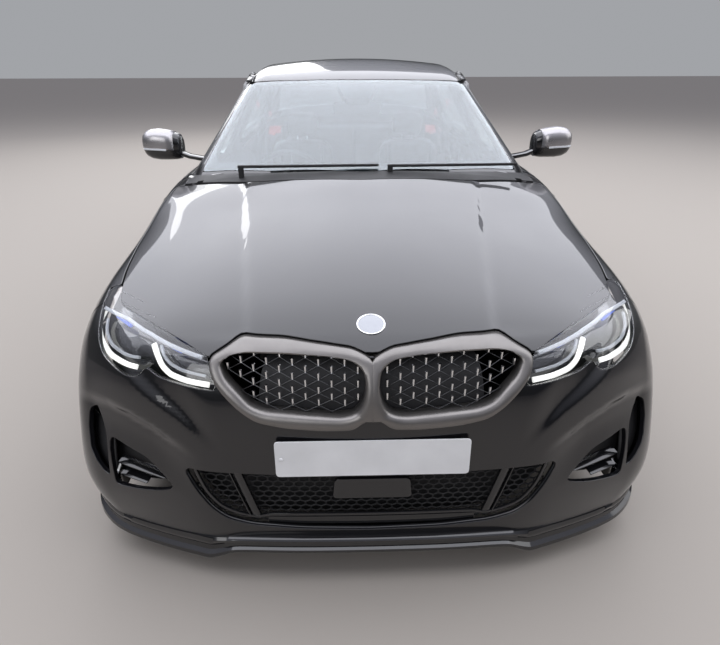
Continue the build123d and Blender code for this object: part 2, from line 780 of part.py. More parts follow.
with BuildPart() as cowl_panel:
    add(outer.part)
    add(box_between((-1000, -1250, 700), (1000, -900, 1200)), mode=Mode.INTERSECT)
    add(plan_prism(cowl_plan, 700, 1200), mode=Mode.INTERSECT)
    add([tops[lid_depth], house[0]], mode=Mode.SUBTRACT)
    for near, far in ((692, 720), (-720, -692)):
        add(box_between((near, -1110, 880), (far, bonnet_pivot[0] + 16, 1000)), mode=Mode.SUBTRACT)
    for near, far in bonnet_barrels:
        add(across_cylinder(*bonnet_pivot, barrel_radius, near, far))
finish("cowl_panel", cowl_panel)

# Engine bay: firewall, inner wings, bumper beam and the pivots of the bonnet
wing_x = 455.0
firewall_y = (-1146.0, -1130.3)
with BuildPart() as bumper_beam:
    add(box_between((-600, -2400, 440), (600, -2250, 520)))
    add(sides[skin + seat_gap], mode=Mode.INTERSECT)
with BuildPart() as front_structure:
    add(box_between((-1000, firewall_y[0], 170), (1000, firewall_y[1], 1100)))
    add(sides[skin + seat_gap], mode=Mode.INTERSECT)
    add(tops[lid_depth + seat_gap], mode=Mode.INTERSECT)
    for side in (-1, 1):
        low, high = sorted((side * wing_x, side * (wing_x + 20)))
        add(box_between((low, -2200, 250), (high, firewall_y[0], 700)))
        add(box_between((low, -2260, 440), (high, -2200, 520)))
        low, high = sorted((side * wing_x, side * 640))
        add(box_between((low, front_axle_y - 90, 690), (high, front_axle_y + 90, 710)))
    add(bumper_beam.part)
    add(box_between((-700, -2400, 600), (700, -2080, 760)), mode=Mode.SUBTRACT)
finish("front_structure", front_structure)

# Tail: bumper, boot lid, lamps and diffuser
tip_x = 560.0
tip_z = 226.0
tip_radius = 46.0
diffuser_face = both([(0, 288), (400, 288), (470, 240), (500, 150), (0, 150)])
with BuildPart() as tail_outer:
    add(outer.part)
    add(box_between((-1100, 1180, 0), (1100, 2600, 1300)), mode=Mode.INTERSECT)
with BuildPart() as tail_skin:
    add(tail_outer.part)
    add(inner.part, mode=Mode.SUBTRACT)
with BuildPart() as rear_bumper:
    add(tail_skin.part)
    add(side_prism(rear_bumper_side, -1000, 1000), mode=Mode.INTERSECT)
    add([
        rear_arch,
        rear_arch.mirror(Plane.YZ),
        front_prism(diffuser_face, 2100, 2600, grow=seat_gap),
    ], mode=Mode.SUBTRACT)
    with BuildSketch(Plane.XZ.offset(-2100)):
        for side in (-1, 1):
            with Locations((side * tip_x, tip_z)):
                Circle(tip_radius + 6)
    extrude(amount=-500, mode=Mode.SUBTRACT)
finish("rear_bumper", rear_bumper)

with BuildPart() as lid_core:
    add(sides[lid_depth])
    add(tops[lid_depth], mode=Mode.INTERSECT)
    add(box_between((-1100, 1500, 500), (1100, 2600, 1300)), mode=Mode.INTERSECT)
with BuildPart() as boot_lid:
    add(plan_prism(boot_plan, 905, 1300))
    add(front_prism(boot_face, 2150, 2600))
    add(tail_outer.part, mode=Mode.INTERSECT)
    add([
        lid_core.part,
        front_prism(lid_lamp_face, 2100, 2600, grow=seat_gap),
        front_prism(mirrored(lid_lamp_face), 2100, 2600, grow=seat_gap),
        front_prism(tail_lamp_face, 1950, 2600, grow=shut_gap),
        front_prism(mirrored(tail_lamp_face), 1950, 2600, grow=shut_gap),
    ], mode=Mode.SUBTRACT)
    for side in (-1, 1):
        low, high = sorted((side * 300, side * 319.85))
        add(across_cylinder(*boot_pivot, barrel_radius, low, high))
        lug_low = (low, boot_pivot[0], boot_pivot[1] - 4)
        add(box_between(lug_low, (high, boot_pivot[0] + 40, boot_pivot[1] + 15)))
finish("boot_lid", boot_lid)

with BuildPart() as lid_lamps:
    for points in (lid_lamp_face, mirrored(lid_lamp_face)):
        add(front_prism(points, 2100, 2600))
    add(tail_outer.part, mode=Mode.INTERSECT)
    add(sides[lid_depth], mode=Mode.SUBTRACT)
finish("lid_lamps", lid_lamps)

with BuildPart() as tail_lamps:
    for points in (tail_lamp_face, mirrored(tail_lamp_face)):
        add(front_prism(points, 1950, 2600))
    add(tail_outer.part, mode=Mode.INTERSECT)
    add(sides[wall], mode=Mode.SUBTRACT)
finish("tail_lamps", tail_lamps)

with BuildPart() as rear_diffuser:
    add(front_prism(diffuser_face, 2100, 2600))
    add(sides[0], mode=Mode.INTERSECT)
    add(sides[wall], mode=Mode.SUBTRACT)
    with BuildSketch(Plane.XZ.offset(-2200)):
        with Locations((0, 200)):
            with GridLocations(170, 0, 4, 1):
                Rectangle(16, 100)
    extrude(amount=-120)
    add(sides[proud], mode=Mode.INTERSECT)
finish("rear_diffuser", rear_diffuser)

with BuildPart() as rear_deck:
    deck_plan = both([(0, 1200.3), (609.7, 1200.3), (609.7, 1586), (300, 1580), (0, 1578)])
    add(plan_prism(deck_plan, 850, 1300))
    add(tail_outer.part, mode=Mode.INTERSECT)
    add(tops[wall], mode=Mode.SUBTRACT)
    for side in (-1, 1):
        low, high = sorted((side * 320.15, side * 342))
        add(across_cylinder(*boot_pivot, barrel_radius, low, high))
        add(box_between((low, 1570, boot_pivot[1] - 7), (high, boot_pivot[0], boot_pivot[1] + 4)))
finish("rear_deck", rear_deck)

with BuildPart() as rear_panel:
    add(tail_outer.part)
    add(box_between((-609.7, 1700, 352), (609.7, 2600, 762)), mode=Mode.INTERSECT)
    add(sides[2 * skin], mode=Mode.INTERSECT)
    add(sides[wall], mode=Mode.SUBTRACT)
    add([
        front_prism(tail_lamp_face, 1950, 2600, grow=seat_gap),
        front_prism(mirrored(tail_lamp_face), 1950, 2600, grow=seat_gap),
        box_between((-500, 2200, 715), (500, 2600, 800)),
    ], mode=Mode.SUBTRACT)
finish("rear_panel", rear_panel)

# Floor: cabin floor, kick-up under the rear seat and boot floor, with the tunnel along the middle
floor_low = 170.0
floor_high = 190.0
boot_floor = 330.0
floor_side = [
    (firewall_y[1] + 0.3, floor_low), (890, floor_low), (1010, boot_floor), (2240, boot_floor),
    (2240, boot_floor + 20), (1000, boot_floor + 20), (880, floor_high), (firewall_y[1] + 0.3, floor_high),
]
with BuildPart() as floor_pan:
    add(side_prism(floor_side, -1000, 1000))
    add(box_between((-120, firewall_y[1] + 0.3, floor_low), (120, 960, 340)))
    add(box_between((-100, -1200, 100), (100, 985, 320)), mode=Mode.SUBTRACT)
    add(sides[sill_depth + seat_gap], mode=Mode.INTERSECT)
    for side in (-1, 1):
        low, high = sorted((side * 628, side * 1000))
        add(across_cylinder(rear_axle_y, tyre_radius, liner_radius, low, high), mode=Mode.SUBTRACT)
finish("floor_pan", floor_pan)


def rear_liner(side):
    """Half drum over a rear wheel, closed towards the boot."""
    near, far = sorted((side * 630, side * 845))
    bore_near, bore_far = sorted((side * 636, side * 900))
    with BuildPart() as liner:
        add(across_cylinder(rear_axle_y, tyre_radius, arch_radius - seat_gap, near, far))
        add(across_cylinder(rear_axle_y, tyre_radius, arch_radius - 6, bore_near, bore_far), mode=Mode.SUBTRACT)
        add(box_between((-1000, 800, -100), (1000, 1800, 420)), mode=Mode.SUBTRACT)
    return liner.part


def front_liner(side):
    """Half drum over a front wheel, notched for the spring tower."""
    near, far = sorted((side * (wing_x + 20.3), side * 860))
    bore_near, bore_far = sorted((side * 400, side * 900))
    tower_near, tower_far = sorted((side * 440, side * 660))
    with BuildPart() as liner:
        add(across_cylinder(front_axle_y, tyre_radius, liner_radius + 4, near, far))
        add([
            across_cylinder(front_axle_y, tyre_radius, liner_radius, bore_near, bore_far),
            box_between((-1000, -2100, -100), (1000, -1000, 420)),
            box_between((tower_near, front_axle_y - 95, 600), (tower_far, front_axle_y + 95, 800)),
        ], mode=Mode.SUBTRACT)
        add(sides[wall], mode=Mode.INTERSECT)
    return liner.part


# Liners that close each wheel arch
with BuildPart() as rear_liners:
    add([rear_liner(1), rear_liner(-1)])
finish("rear_liners", rear_liners)
with BuildPart() as front_liners:
    add([front_liner(1), front_liner(-1)])
finish("front_liners", front_liners)

# Running gear
kingpin_x = 700.0
arm_low = 178.0
arm_high = 200.0
pin_low = arm_high + seat_gap
pin_high = 470.0
disc_radius = 172.0
hub_x = front_track / 2
rear_hub_x = rear_track / 2


def arm_outline(side, y, inboard, spread):
    """Plan of a wishbone that narrows to its ball joint on the kingpin."""
    half = [(inboard, -spread), (650, -22), (715, -18), (715, 18), (650, 22), (inboard, spread)]
    return [(side * x, y + along) for x, along in half]


with BuildPart() as front_subframe:
    add(box_between((-480, front_axle_y + 40, 165), (480, front_axle_y + 130, 235)))
    add(box_between((-480, front_axle_y - 130, 165), (480, front_axle_y - 60, 225)))
    for side in (-1, 1):
        low, high = sorted((side * 400, side * 452))
        add(box_between((low, front_axle_y - 130, 165), (high, front_axle_y + 130, 225)))
        low, high = sorted((side * wing_x, side * (wing_x + 20)))
        for y in (front_axle_y - 110, front_axle_y + 60):
            add(box_between((low, y, 165), (high, y + 40, 250 - seat_gap)))
        add(plan_prism(arm_outline(side, front_axle_y, 440, 110), arm_low, arm_high))
        low, high = sorted((side * 120, side * 190))
        add(box_between((low, front_axle_y + 60, 235), (high, front_axle_y + 100, 260 - seat_gap)))
        add(upright_cylinder(side * 580, front_axle_y, 24, arm_high, 690 - seat_gap))
        add(upright_cylinder(side * 580, front_axle_y, 48, 330, 640))
finish("front_subframe", front_subframe)


def upper_arm(side):
    """Upper wishbone with a window for the spring."""
    inboard = wing_x + 20 + seat_gap
    half = [(inboard, -95), (640, -80), (715, -24), (715, 24), (640, 80), (inboard, 95)]
    with BuildPart() as arm:
        outline = [(side * x, front_axle_y + along) for x, along in half]
        add(plan_prism(outline, pin_high + seat_gap, pin_high + 18))
        low = (side * 580 - 56, front_axle_y - 54, 400)
        high = (side * 580 + 56, front_axle_y + 54, 600)
        add(box_between(low, high), mode=Mode.SUBTRACT)
    return arm.part


with BuildPart() as upper_arms:
    add([upper_arm(1), upper_arm(-1)])
finish("upper_arms", upper_arms)


# Front knuckles, each turning about its upright kingpin with hub and brake caliper
disc_low = hub_x - 51.0
disc_high = hub_x - 29.0
with BuildPart() as knuckle:
    add(upright_cylinder(kingpin_x, front_axle_y, 20, pin_low, pin_high))
    add(across_cylinder(front_axle_y, tyre_radius, 46, kingpin_x - 18, disc_low - seat_gap))
    with BuildSketch(Plane.YZ.offset(hub_x - 80)):
        with Locations((front_axle_y + 150, tyre_radius + 10)):
            RectangleRounded(74, 170, 14)
    extrude(amount=72)
    link = box_between(
        (kingpin_x, front_axle_y, tyre_radius - 30), (disc_low - 7, front_axle_y + 130, tyre_radius + 30)
    )
    add(link)
    add([
        across_cylinder(front_axle_y, tyre_radius, disc_radius + 5, disc_low - 6, disc_high + 6),
        across_cylinder(front_axle_y, tyre_radius, 60, disc_high, hub_x),
    ], mode=Mode.SUBTRACT)
    add(across_cylinder(front_axle_y, tyre_radius, 46, kingpin_x, disc_low - seat_gap))
finish_pair("knuckle", knuckle)

# Wheels: barrel, five twin spokes, hub and brake disc
spoke_pairs = 5
spoke_width = 17.0
tread_inset = 9.0


def rim(y, x, width):
    """Left rim with its brake disc; the barrel follows the tyre's width."""
    half = width / 2 - 6
    with BuildPart() as wheel:
        with BuildSketch(Plane.XY):
            with Locations((x, (rim_radius - 13 + rim_radius - seat_gap) / 2)):
                Rectangle(2 * half, 13 - seat_gap)
            with Locations((x + half - 25, 39)):
                Rectangle(30, 78)
            with Locations((x - 40, disc_radius / 2)):
                Rectangle(22, disc_radius)
            with Locations((x + (half - 60) / 2, 22)):
                Rectangle(half + 20, 44)
        revolve(axis=Axis.X)
        with BuildSketch(Plane.YZ.offset(x + half - 40)):
            with PolarLocations(0, spoke_pairs):
                for angle in (-13, 13):
                    with Locations(Location((0, 0, 0), (0, 0, angle))):
                        with Locations((rim_radius / 2 + 10, 0)):
                            Rectangle(rim_radius - 46, spoke_width)
        extrude(amount=30)
    return wheel.part.moved(Location((0, y, tyre_radius)))


def tyre(y, x, width):
    """Left tyre: tread between walls that spread towards the bead."""
    half = width / 2
    with BuildPart() as ring:
        with BuildSketch(Plane.XY):
            with BuildLine():
                Polyline(
                    (x - half + tread_inset, tyre_radius), (x + half - tread_inset, tyre_radius),
                    (x + half, rim_radius), (x - half, rim_radius), close=True,
                )
            make_face()
        revolve(axis=Axis.X)
    return ring.part.moved(Location((0, y, tyre_radius)))


for axle, y, x, width in (
    ("front", front_axle_y, hub_x, front_tyre_width),
    ("rear", rear_axle_y, rear_hub_x, rear_tyre_width),
):
    with BuildPart() as rim_left:
        add(rim(y, x, width))
    finish_pair(f"rim_{axle}", rim_left)
    with BuildPart() as tyre_left:
        add(tyre(y, x, width))
    finish_pair(f"tyre_{axle}", tyre_left)


def rear_arm(side):
    """Lower arm, carrier, hub and brake caliper of one rear wheel."""
    disc_face = rear_hub_x - 51
    with BuildPart() as arm:
        outline = [
            (440, -60), (600, -60), (650, -40), (714, -40), (714, 40), (650, 40), (600, 60), (440, 60),
        ]
        add(plan_prism([(x, rear_axle_y + y) for x, y in outline], 200, 222))
        add(box_between((disc_face - 39, rear_axle_y - 40, 200), (disc_face - 9, rear_axle_y + 40, 400)))
        add(box_between((disc_face - 33, rear_axle_y, 300), (disc_face - 9, rear_axle_y + 130, 350)))
        add(box_between((disc_face - 33, rear_axle_y + 112, 262), (disc_face + 39, rear_axle_y + 186, 396)))
        bore = across_cylinder(rear_axle_y, tyre_radius, disc_radius + 5, disc_face - 6, disc_face + 28)
        add(bore, mode=Mode.SUBTRACT)
        add(across_cylinder(rear_axle_y, tyre_radius, 46, disc_face - 20, disc_face - seat_gap))
    return arm.part if side > 0 else arm.part.mirror(Plane.YZ)


pipe_x = 180.0
pipe_z = 236.0
pipe_radius = 32.0
with BuildPart() as rear_subframe:
    for low, high in ((-160, -90), (80, 150)):
        add(box_between((-470, rear_axle_y + low, 190), (470, rear_axle_y + high, boot_floor - seat_gap)))
    add(box_between((-110, rear_axle_y - 150, 210), (110, rear_axle_y + 120, boot_floor - seat_gap)))
    for side in (-1, 1):
        low, high = sorted((side * 400, side * 460))
        add(box_between((low, rear_axle_y - 160, 200), (high, rear_axle_y + 150, 250)))
        add(rear_arm(side))
    notch = 10 + pipe_radius
    low = (pipe_x - notch, rear_axle_y - 200, 180)
    add(box_between(low, (pipe_x + notch, rear_axle_y + 200, pipe_z + notch)), mode=Mode.SUBTRACT)
finish("rear_subframe", rear_subframe)

with BuildPart() as engine_block:
    add(box_between((-250, -1850, 260), (250, -1200, 700)))
    fillet(engine_block.edges().filter_by(Axis.Y), 40)
finish("engine_block", engine_block)

with BuildPart() as exhaust:
    with BuildLine():
        Polyline((0, -1080, pipe_z), (0, 990, pipe_z), (pipe_x, 1110, pipe_z), (pipe_x, 1850, pipe_z))
    with BuildSketch(Plane.XZ.offset(1080)):
        with Locations((0, pipe_z)):
            Circle(pipe_radius)
    sweep(transition=Transition.RIGHT)
    add(box_between((-470, 1800, 200), (470, 2080, boot_floor - seat_gap)))
    for side in (-1, 1):
        low, high = sorted((side * 460, side * 620))
        add(box_between((low, 1990, 176), (high, 2080, 276)))
    with BuildSketch(Plane.XZ.offset(-2079)):
        for side in (-1, 1):
            with Locations((side * tip_x, tip_z)):
                Circle(tip_radius)
                Circle(tip_radius - 5, mode=Mode.SUBTRACT)
    extrude(amount=-211)
finish("exhaust", exhaust)


def seat(x):
    """Front seat: cushion, leaning back and head restraint on a plinth."""
    with BuildPart() as chair:
        add(side_prism([(-160, 350), (360, 310), (360, 430), (-160, 480), (-190, 420)], x - 250, x + 250))
        add(side_prism([(290, 420), (370, 380), (540, 930), (480, 960), (400, 930)], x - 240, x + 240))
        add(side_prism([(450, 940), (540, 930), (580, 1080), (520, 1110), (480, 1090)], x - 120, x + 120))
        rail = floor_high + seat_gap
        add(side_prism([(-120, rail), (300, rail), (300, 330), (-120, 370)], x - 210, x + 210))
    return chair.part


with BuildPart() as front_seats:
    add([seat(370), seat(-370)])
finish("front_seats", front_seats)

with BuildPart() as rear_seat:
    bottom = boot_floor + 20 + seat_gap
    add(side_prism([(790, 400), (1015, bottom), (1170, bottom), (1170, 450), (800, 490)], -600, 600))
    back = [(1060, 440), (1170, bottom), (1195, bottom), (1195, 900), (1150, 1000), (1090, 980)]
    add(side_prism(back, -600, 600))
finish("rear_seat", rear_seat)

column_tilt = 25.0
column = Plane(
    origin=(-370, -640, 740), x_dir=(1, 0, 0), z_dir=(0, cos(radians(column_tilt)), sin(radians(column_tilt)))
)
column_length = 190.0
dash_side = [
    (-1130, 640), (-1130, 900), (-1000, 925), (-700, 915), (-610, 860), (-590, 760), (-640, 650), (-760, 600),
]
tunnel_top = 340.0
console_side = [
    (-760, tunnel_top + seat_gap), (-760, 640), (-640, 690), (-560, 620), (-300, 520), (230, 520),
    (260, tunnel_top + seat_gap),
]
with BuildPart() as dashboard:
    add(side_prism(dash_side, -700, 700))
    add(side_prism(console_side, -115, 115))
    with BuildSketch(column):
        Circle(34)
    extrude(amount=column_length)
finish("dashboard", dashboard)

wheel_ring = 178.0
ring_radius = 16.0
ring_sides = 8
with BuildPart() as steering_wheel:
    with BuildSketch(column.offset(column_length + seat_gap)):
        Circle(62)
        for angle in (0, 180, 270):
            with Locations(Location((0, 0, 0), (0, 0, angle))):
                with Locations((wheel_ring / 2, 0)):
                    Rectangle(wheel_ring, 32)
    extrude(amount=24)
    ring_centre = column.offset(column_length + 12).origin
    with BuildSketch(Plane(origin=ring_centre, x_dir=column.x_dir, z_dir=-column.y_dir)):
        with Locations((wheel_ring, 0)):
            RegularPolygon(ring_radius, ring_sides)
    revolve(axis=Axis(ring_centre, column.z_dir))
finish("steering_wheel", steering_wheel)

# Mirrors on the doors, and wipers on the cowl
MirrorRing = namedtuple("MirrorRing", "x y z width height radius")
mirror_rings = [
    MirrorRing(880, -762, 1058, 110, 120, 30),
    MirrorRing(955, -766, 1064, 130, 150, 45),
    MirrorRing(1034, -756, 1066, 70, 84, 30),
]
with BuildPart() as mirror:
    for x, y, z, width, height, radius in mirror_rings:
        with BuildSketch(Plane.YZ.offset(x)):
            with Locations((y, z)):
                RectangleRounded(width, height, radius)
    loft(ruled=True)
    add(box_between((700, -800, 985), (900, -740, 1010)))
    add([shape.moved(Location((seat_gap, 0, 0))) for shape in (outer.part, house[0])], mode=Mode.SUBTRACT)
finish_pair("mirror", mirror)

blade_low = 1006.0
blade_high = 1016.0
with BuildPart() as wipers:
    for pivot_x, reach in ((-520, 600), (130, 560)):
        blade = [(-12, -1100), (reach, -1078), (reach, -1066), (-12, -1076)]
        add(plan_prism([(pivot_x + x, y) for x, y in blade], blade_low, blade_high))
        add(upright_cylinder(pivot_x, -1088, 12, 940, blade_high))
    add(outer.part.moved(Location((0, 0, seat_gap))), mode=Mode.SUBTRACT)
    add(house[0].moved(Location((0, -seat_gap, 0))), mode=Mode.SUBTRACT)
finish("wipers", wipers)
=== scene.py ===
# %% [markdown]
# # A four-door sedan, dressed
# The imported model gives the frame: every piece sits in metres, nose along -Y and +Z up.
# Pieces whose plain shape is right only get a material. Outer panels are built again here as smooth surfaces.

# %% Load the frame
import bmesh
import bpy
import math
import numpy as np
from mathutils import Matrix, Vector


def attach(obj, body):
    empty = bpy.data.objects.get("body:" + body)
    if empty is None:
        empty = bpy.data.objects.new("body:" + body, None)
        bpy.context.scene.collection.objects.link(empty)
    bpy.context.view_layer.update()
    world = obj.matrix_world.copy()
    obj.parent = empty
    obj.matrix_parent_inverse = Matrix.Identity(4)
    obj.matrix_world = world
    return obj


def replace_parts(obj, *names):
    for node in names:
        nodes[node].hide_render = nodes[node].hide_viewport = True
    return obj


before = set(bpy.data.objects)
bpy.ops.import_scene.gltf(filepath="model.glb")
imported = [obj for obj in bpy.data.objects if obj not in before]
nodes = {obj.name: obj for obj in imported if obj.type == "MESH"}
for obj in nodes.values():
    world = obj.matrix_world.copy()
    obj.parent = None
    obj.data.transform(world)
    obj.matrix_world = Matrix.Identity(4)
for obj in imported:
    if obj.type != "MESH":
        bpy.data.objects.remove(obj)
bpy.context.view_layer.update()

# %% [markdown]
# ## Camera
# The camera stands ahead of the car, above the bonnet, and looks down onto it. Its place, tilt and lens
# come from fitting the number plate, the mirrors and the glass at their real sizes.

# %% Camera
camera_place = (-0.059, -3.459, 1.414)
pitch = math.radians(26.14)
yaw = math.radians(1.33)
roll = math.radians(-0.18)
lens_pixels = 529.1
picture = (720, 645)
camera_data = bpy.data.cameras.new("camera")
camera_data.sensor_fit = "HORIZONTAL"
camera_data.sensor_width = 36.0
camera_data.lens = lens_pixels * 36.0 / picture[0]
camera = bpy.data.objects.new("camera", camera_data)
bpy.context.scene.collection.objects.link(camera)
forward = Vector((math.sin(yaw) * math.cos(pitch), math.cos(yaw) * math.cos(pitch), -math.sin(pitch)))
level = Vector((math.cos(yaw), -math.sin(yaw), 0.0))
upright = level.cross(forward)
right = level * math.cos(roll) + upright * math.sin(roll)
up = upright * math.cos(roll) - level * math.sin(roll)
turn = Matrix((right, up, -forward)).transposed()
camera.matrix_world = Matrix.Translation(camera_place) @ turn.to_4x4()
bpy.context.scene.camera = camera
print("lens", round(camera_data.lens, 2), "mm")

# %% [markdown]
# ## Floor and light
# A pale floor, one wide soft sheet of light above, smaller ones ahead, at the left and behind, and a sky
# that looks plain to the camera and darkens towards the horizon in reflections.

# %% Floor, lights and sky
def set_inputs(node, **values):
    """Sets a node's inputs by name, an underscore standing for a space."""
    for title, value in values.items():
        node.inputs[title.replace("_", " ")].default_value = value
    return node


def new_material(name, **values):
    """Material of one shader with the values named."""
    material = bpy.data.materials.new(name)
    material.use_nodes = True
    set_inputs(material.node_tree.nodes["Principled BSDF"], **values)
    return material


floor_mesh = bpy.data.meshes.new("floor")
floor_mesh.from_pydata([(-60, -60, 0), (60, -60, 0), (60, 60, 0), (-60, 60, 0)], [], [(0, 1, 2, 3)])
floor_mesh.materials.append(new_material("floor", Base_Color=(0.30, 0.275, 0.245, 1.0), Roughness=0.8))
floor = bpy.data.objects.new("floor", floor_mesh)
bpy.context.scene.collection.objects.link(floor)


def area_light(name, place, target, size, power, colour=(1.0, 1.0, 1.0)):
    """Soft rectangular light that faces a target."""
    data = bpy.data.lights.new(name, "AREA")
    data.shape = "RECTANGLE"
    data.size, data.size_y = size
    data.energy = power
    data.color = colour
    lamp = bpy.data.objects.new(name, data)
    lamp.location = place
    lamp.rotation_euler = (Vector(target) - Vector(place)).to_track_quat("-Z", "Y").to_euler()
    bpy.context.scene.collection.objects.link(lamp)
    return lamp


area_light("light_over", (0.0, 2.0, 6.0), (0.0, 2.0, 0.0), (16.0, 13.0), 1350.0, (0.93, 0.94, 1.0))
area_light("light_front", (-3.5, -8.0, 4.0), (0.0, -1.5, 0.6), (5.0, 3.0), 110.0)
area_light("light_left", (7.0, -1.0, 3.5), (0.0, 0.0, 0.7), (7.0, 3.0), 110.0)
area_light("light_rear", (-3.0, 8.0, 4.5), (0.0, 1.5, 0.6), (5.0, 3.0), 120.0)


def join_sockets(tree, rows):
    """Links sockets; each row is a node and its output, then a node and its input."""
    for giver, output, taker, entry in rows:
        tree.links.new(giver.outputs[output], taker.inputs[entry])


def build_sky():
    """Pale sky to the camera; for reflections it darkens towards the horizon, as trees make it."""
    sky = bpy.data.worlds.new("sky")
    sky.use_nodes = True
    tree = sky.node_tree
    ground = tree.nodes["Background"]
    place, parts = tree.nodes.new("ShaderNodeTexCoord"), tree.nodes.new("ShaderNodeSeparateXYZ")
    ramp = tree.nodes.new("ShaderNodeValToRGB")
    ramp.color_ramp.elements[0].position, ramp.color_ramp.elements[1].position = 0.10, 0.55
    ramp.color_ramp.elements[0].color = (0.045, 0.05, 0.05, 1.0)
    ramp.color_ramp.elements[1].color = (0.62, 0.63, 0.72, 1.0)
    path, mix = tree.nodes.new("ShaderNodeLightPath"), tree.nodes.new("ShaderNodeMixRGB")
    mix.inputs["Color2"].default_value = (0.36, 0.37, 0.39, 1.0)
    join_sockets(tree, [
        (place, "Generated", parts, "Vector"), (parts, "Z", ramp, "Fac"), (path, "Is Camera Ray", mix, "Fac"),
        (ramp, "Color", mix, "Color1"), (mix, "Color", ground, "Color"),
    ])
    return sky


world = build_sky()
bpy.context.scene.world = world
bpy.context.scene.view_settings.view_transform = "Standard"

# %% [markdown]
# ## The body as one smooth field
# A car's outer skin is one flowing shape cut into panels. Here it is a function that says how far a point
# lies outside the body. Panels are cast onto its zero surface, so neighbours line up and reflections flow
# from one to the next. The tables hold the few sections that a clay modeller would set up first.

# %% Smooth curves through tables
mm = 0.001


def smooth_curve(knots, values):
    """Cubic curve through a table's rows, straight beyond its ends."""
    knots = np.asarray(knots, float)
    values = np.asarray(values, float)
    gaps = np.diff(knots)
    slopes = (np.diff(values, axis=0).T / gaps).T
    matrix = np.eye(len(knots))
    bends = np.zeros_like(values)
    for row in range(1, len(knots) - 1):
        matrix[row, row - 1:row + 2] = gaps[row - 1], 2 * (gaps[row - 1] + gaps[row]), gaps[row]
        bends[row] = 6 * (slopes[row] - slopes[row - 1])
    bends = np.linalg.solve(matrix, bends)
    first_slope = slopes[0] - gaps[0] * bends[1] / 6
    last_slope = slopes[-1] + gaps[-1] * bends[-2] / 6

    def at(place):
        place = np.asarray(place, float)
        held = np.clip(place, knots[0], knots[-1])
        row = np.clip(np.searchsorted(knots, held) - 1, 0, len(gaps) - 1)
        gap = gaps[row]
        after = (held - knots[row]) / gap
        before = 1 - after
        wide = (...,) + (None,) * (values.ndim - 1)
        value = before[wide] * values[row] + after[wide] * values[row + 1]
        value += ((before ** 3 - before) * gap ** 2 / 6)[wide] * bends[row]
        value += ((after ** 3 - after) * gap ** 2 / 6)[wide] * bends[row + 1]
        beyond = place - held
        return value + beyond[wide] * np.where((beyond < 0)[wide], first_slope, last_slope)

    return at


def blend_max(a, b, width):
    """Larger of two fields, rounded where they meet."""
    share = np.maximum(width - np.abs(a - b), 0) / width
    return np.maximum(a, b) + share * share * width / 4


def fade(value, low, high):
    """Smooth step from 0 at the low end to 1 at the high end."""
    t = np.clip((value - low) / (high - low), 0, 1)
    return t * t * (3 - 2 * t)


# %% Sections of the lower body
nose_y = -2350 * mm
tail_y = 2365 * mm
axle_y = {"front": -1549 * mm, "rear": 1302 * mm}
axle_z = 331 * mm
# Columns: level, half widths at the front corner, mid door and rear corner, set-backs of nose and tail
waterlines = np.array([
    (60, 842, 850, 828, 26, 120),
    (150, 862, 872, 850, 12, 80),
    (205, 884, 888, 872, 5, 44),
    (420, 902, 904, 894, 0, 4),
    (560, 906, 912, 902, 3, 0),
    (650, 904, 913, 903, 22, 4),
    (740, 898, 908, 900, 76, 28),
    (800, 886, 900, 892, 140, 40),
    (860, 862, 884, 876, 230, 48),
    (940, 820, 843, 834, 340, 56),
    (1000, 775, 792, 785, 440, 60),
    (1120, 690, 705, 690, 560, 70),
]) * mm
# Columns: station, heights at the centre line, the crease, the edge and over the arches
crown_places = np.array([0, 220, 440, 620, 800, 867, 935]) * mm
crowns = np.array([
    (-2440, 668, 640, 570, 470),
    (-2290, 742, 712, 648, 560),
    (-2200, 778, 750, 690, 610),
    (-2000, 830, 804, 745, 650),
    (-1700, 885, 862, 806, 690),
    (-1400, 936, 914, 862, 740),
    (-1080, 990, 972, 930, 850),
    (-900, 1000, 985, 946, 880),
    (-200, 1008, 994, 960, 900),
    (500, 1014, 1002, 973, 916),
    (1100, 1020, 1010, 985, 930),
    (1560, 1086, 1080, 1006, 930),
    (1900, 1090, 1083, 1000, 910),
    (2240, 1086, 1078, 990, 880),
    (2440, 1070, 1062, 975, 860),
]) * mm
shoulder_x = {"front": 450 * mm, "rear": 550 * mm}
shoulder_bow = 50 * mm
corner_run = 420 * mm
corner_sagitta = 70 * mm
waterline_at = smooth_curve(waterlines[:, 0], waterlines[:, 1:])

centre, crease, edge, brow = crowns[:, 1:].T
crown_heights = np.stack([
    centre, crease + 0.75 * (centre - crease), crease, (crease + edge) / 2 + 6 * mm,
    edge, (edge + brow) / 2 + 22 * mm, brow,
])
mirrored_places = np.concatenate([-crown_places[:0:-1], crown_places])
mirrored_heights = np.concatenate([crown_heights[:0:-1], crown_heights])
grid_step = 10 * mm
grid_x = np.arange(-3, 125) * grid_step
grid_y = np.arange(-270, 271) * grid_step
station_heights = smooth_curve(crowns[:, 0], mirrored_heights.T)(grid_y)
top_grid = smooth_curve(mirrored_places, station_heights.T)(grid_x)
print("crown grid", top_grid.shape, "bonnet centre at y -2.0:", round(float(top_grid[3, 70]), 4))

# The bonnet's two creases, which spread from the grille to the pillars
crease_line = smooth_curve(
    np.array([-2214, -2049, -1823, -1522, -1236]) * mm, np.array([332, 355, 392, 438, 486]) * mm
)
crease_step = 7 * mm
for column, place in enumerate(grid_x):
    past = np.abs(place) - crease_line(grid_y)
    drop = 0.5 * (1 + np.tanh(past / (14 * mm))) * np.exp(-np.maximum(past, 0) / (240 * mm))
    reach = fade(grid_y, -2.27, -2.16) * (1 - fade(grid_y, -1.16, -1.02))
    top_grid[column] -= crease_step * drop * reach


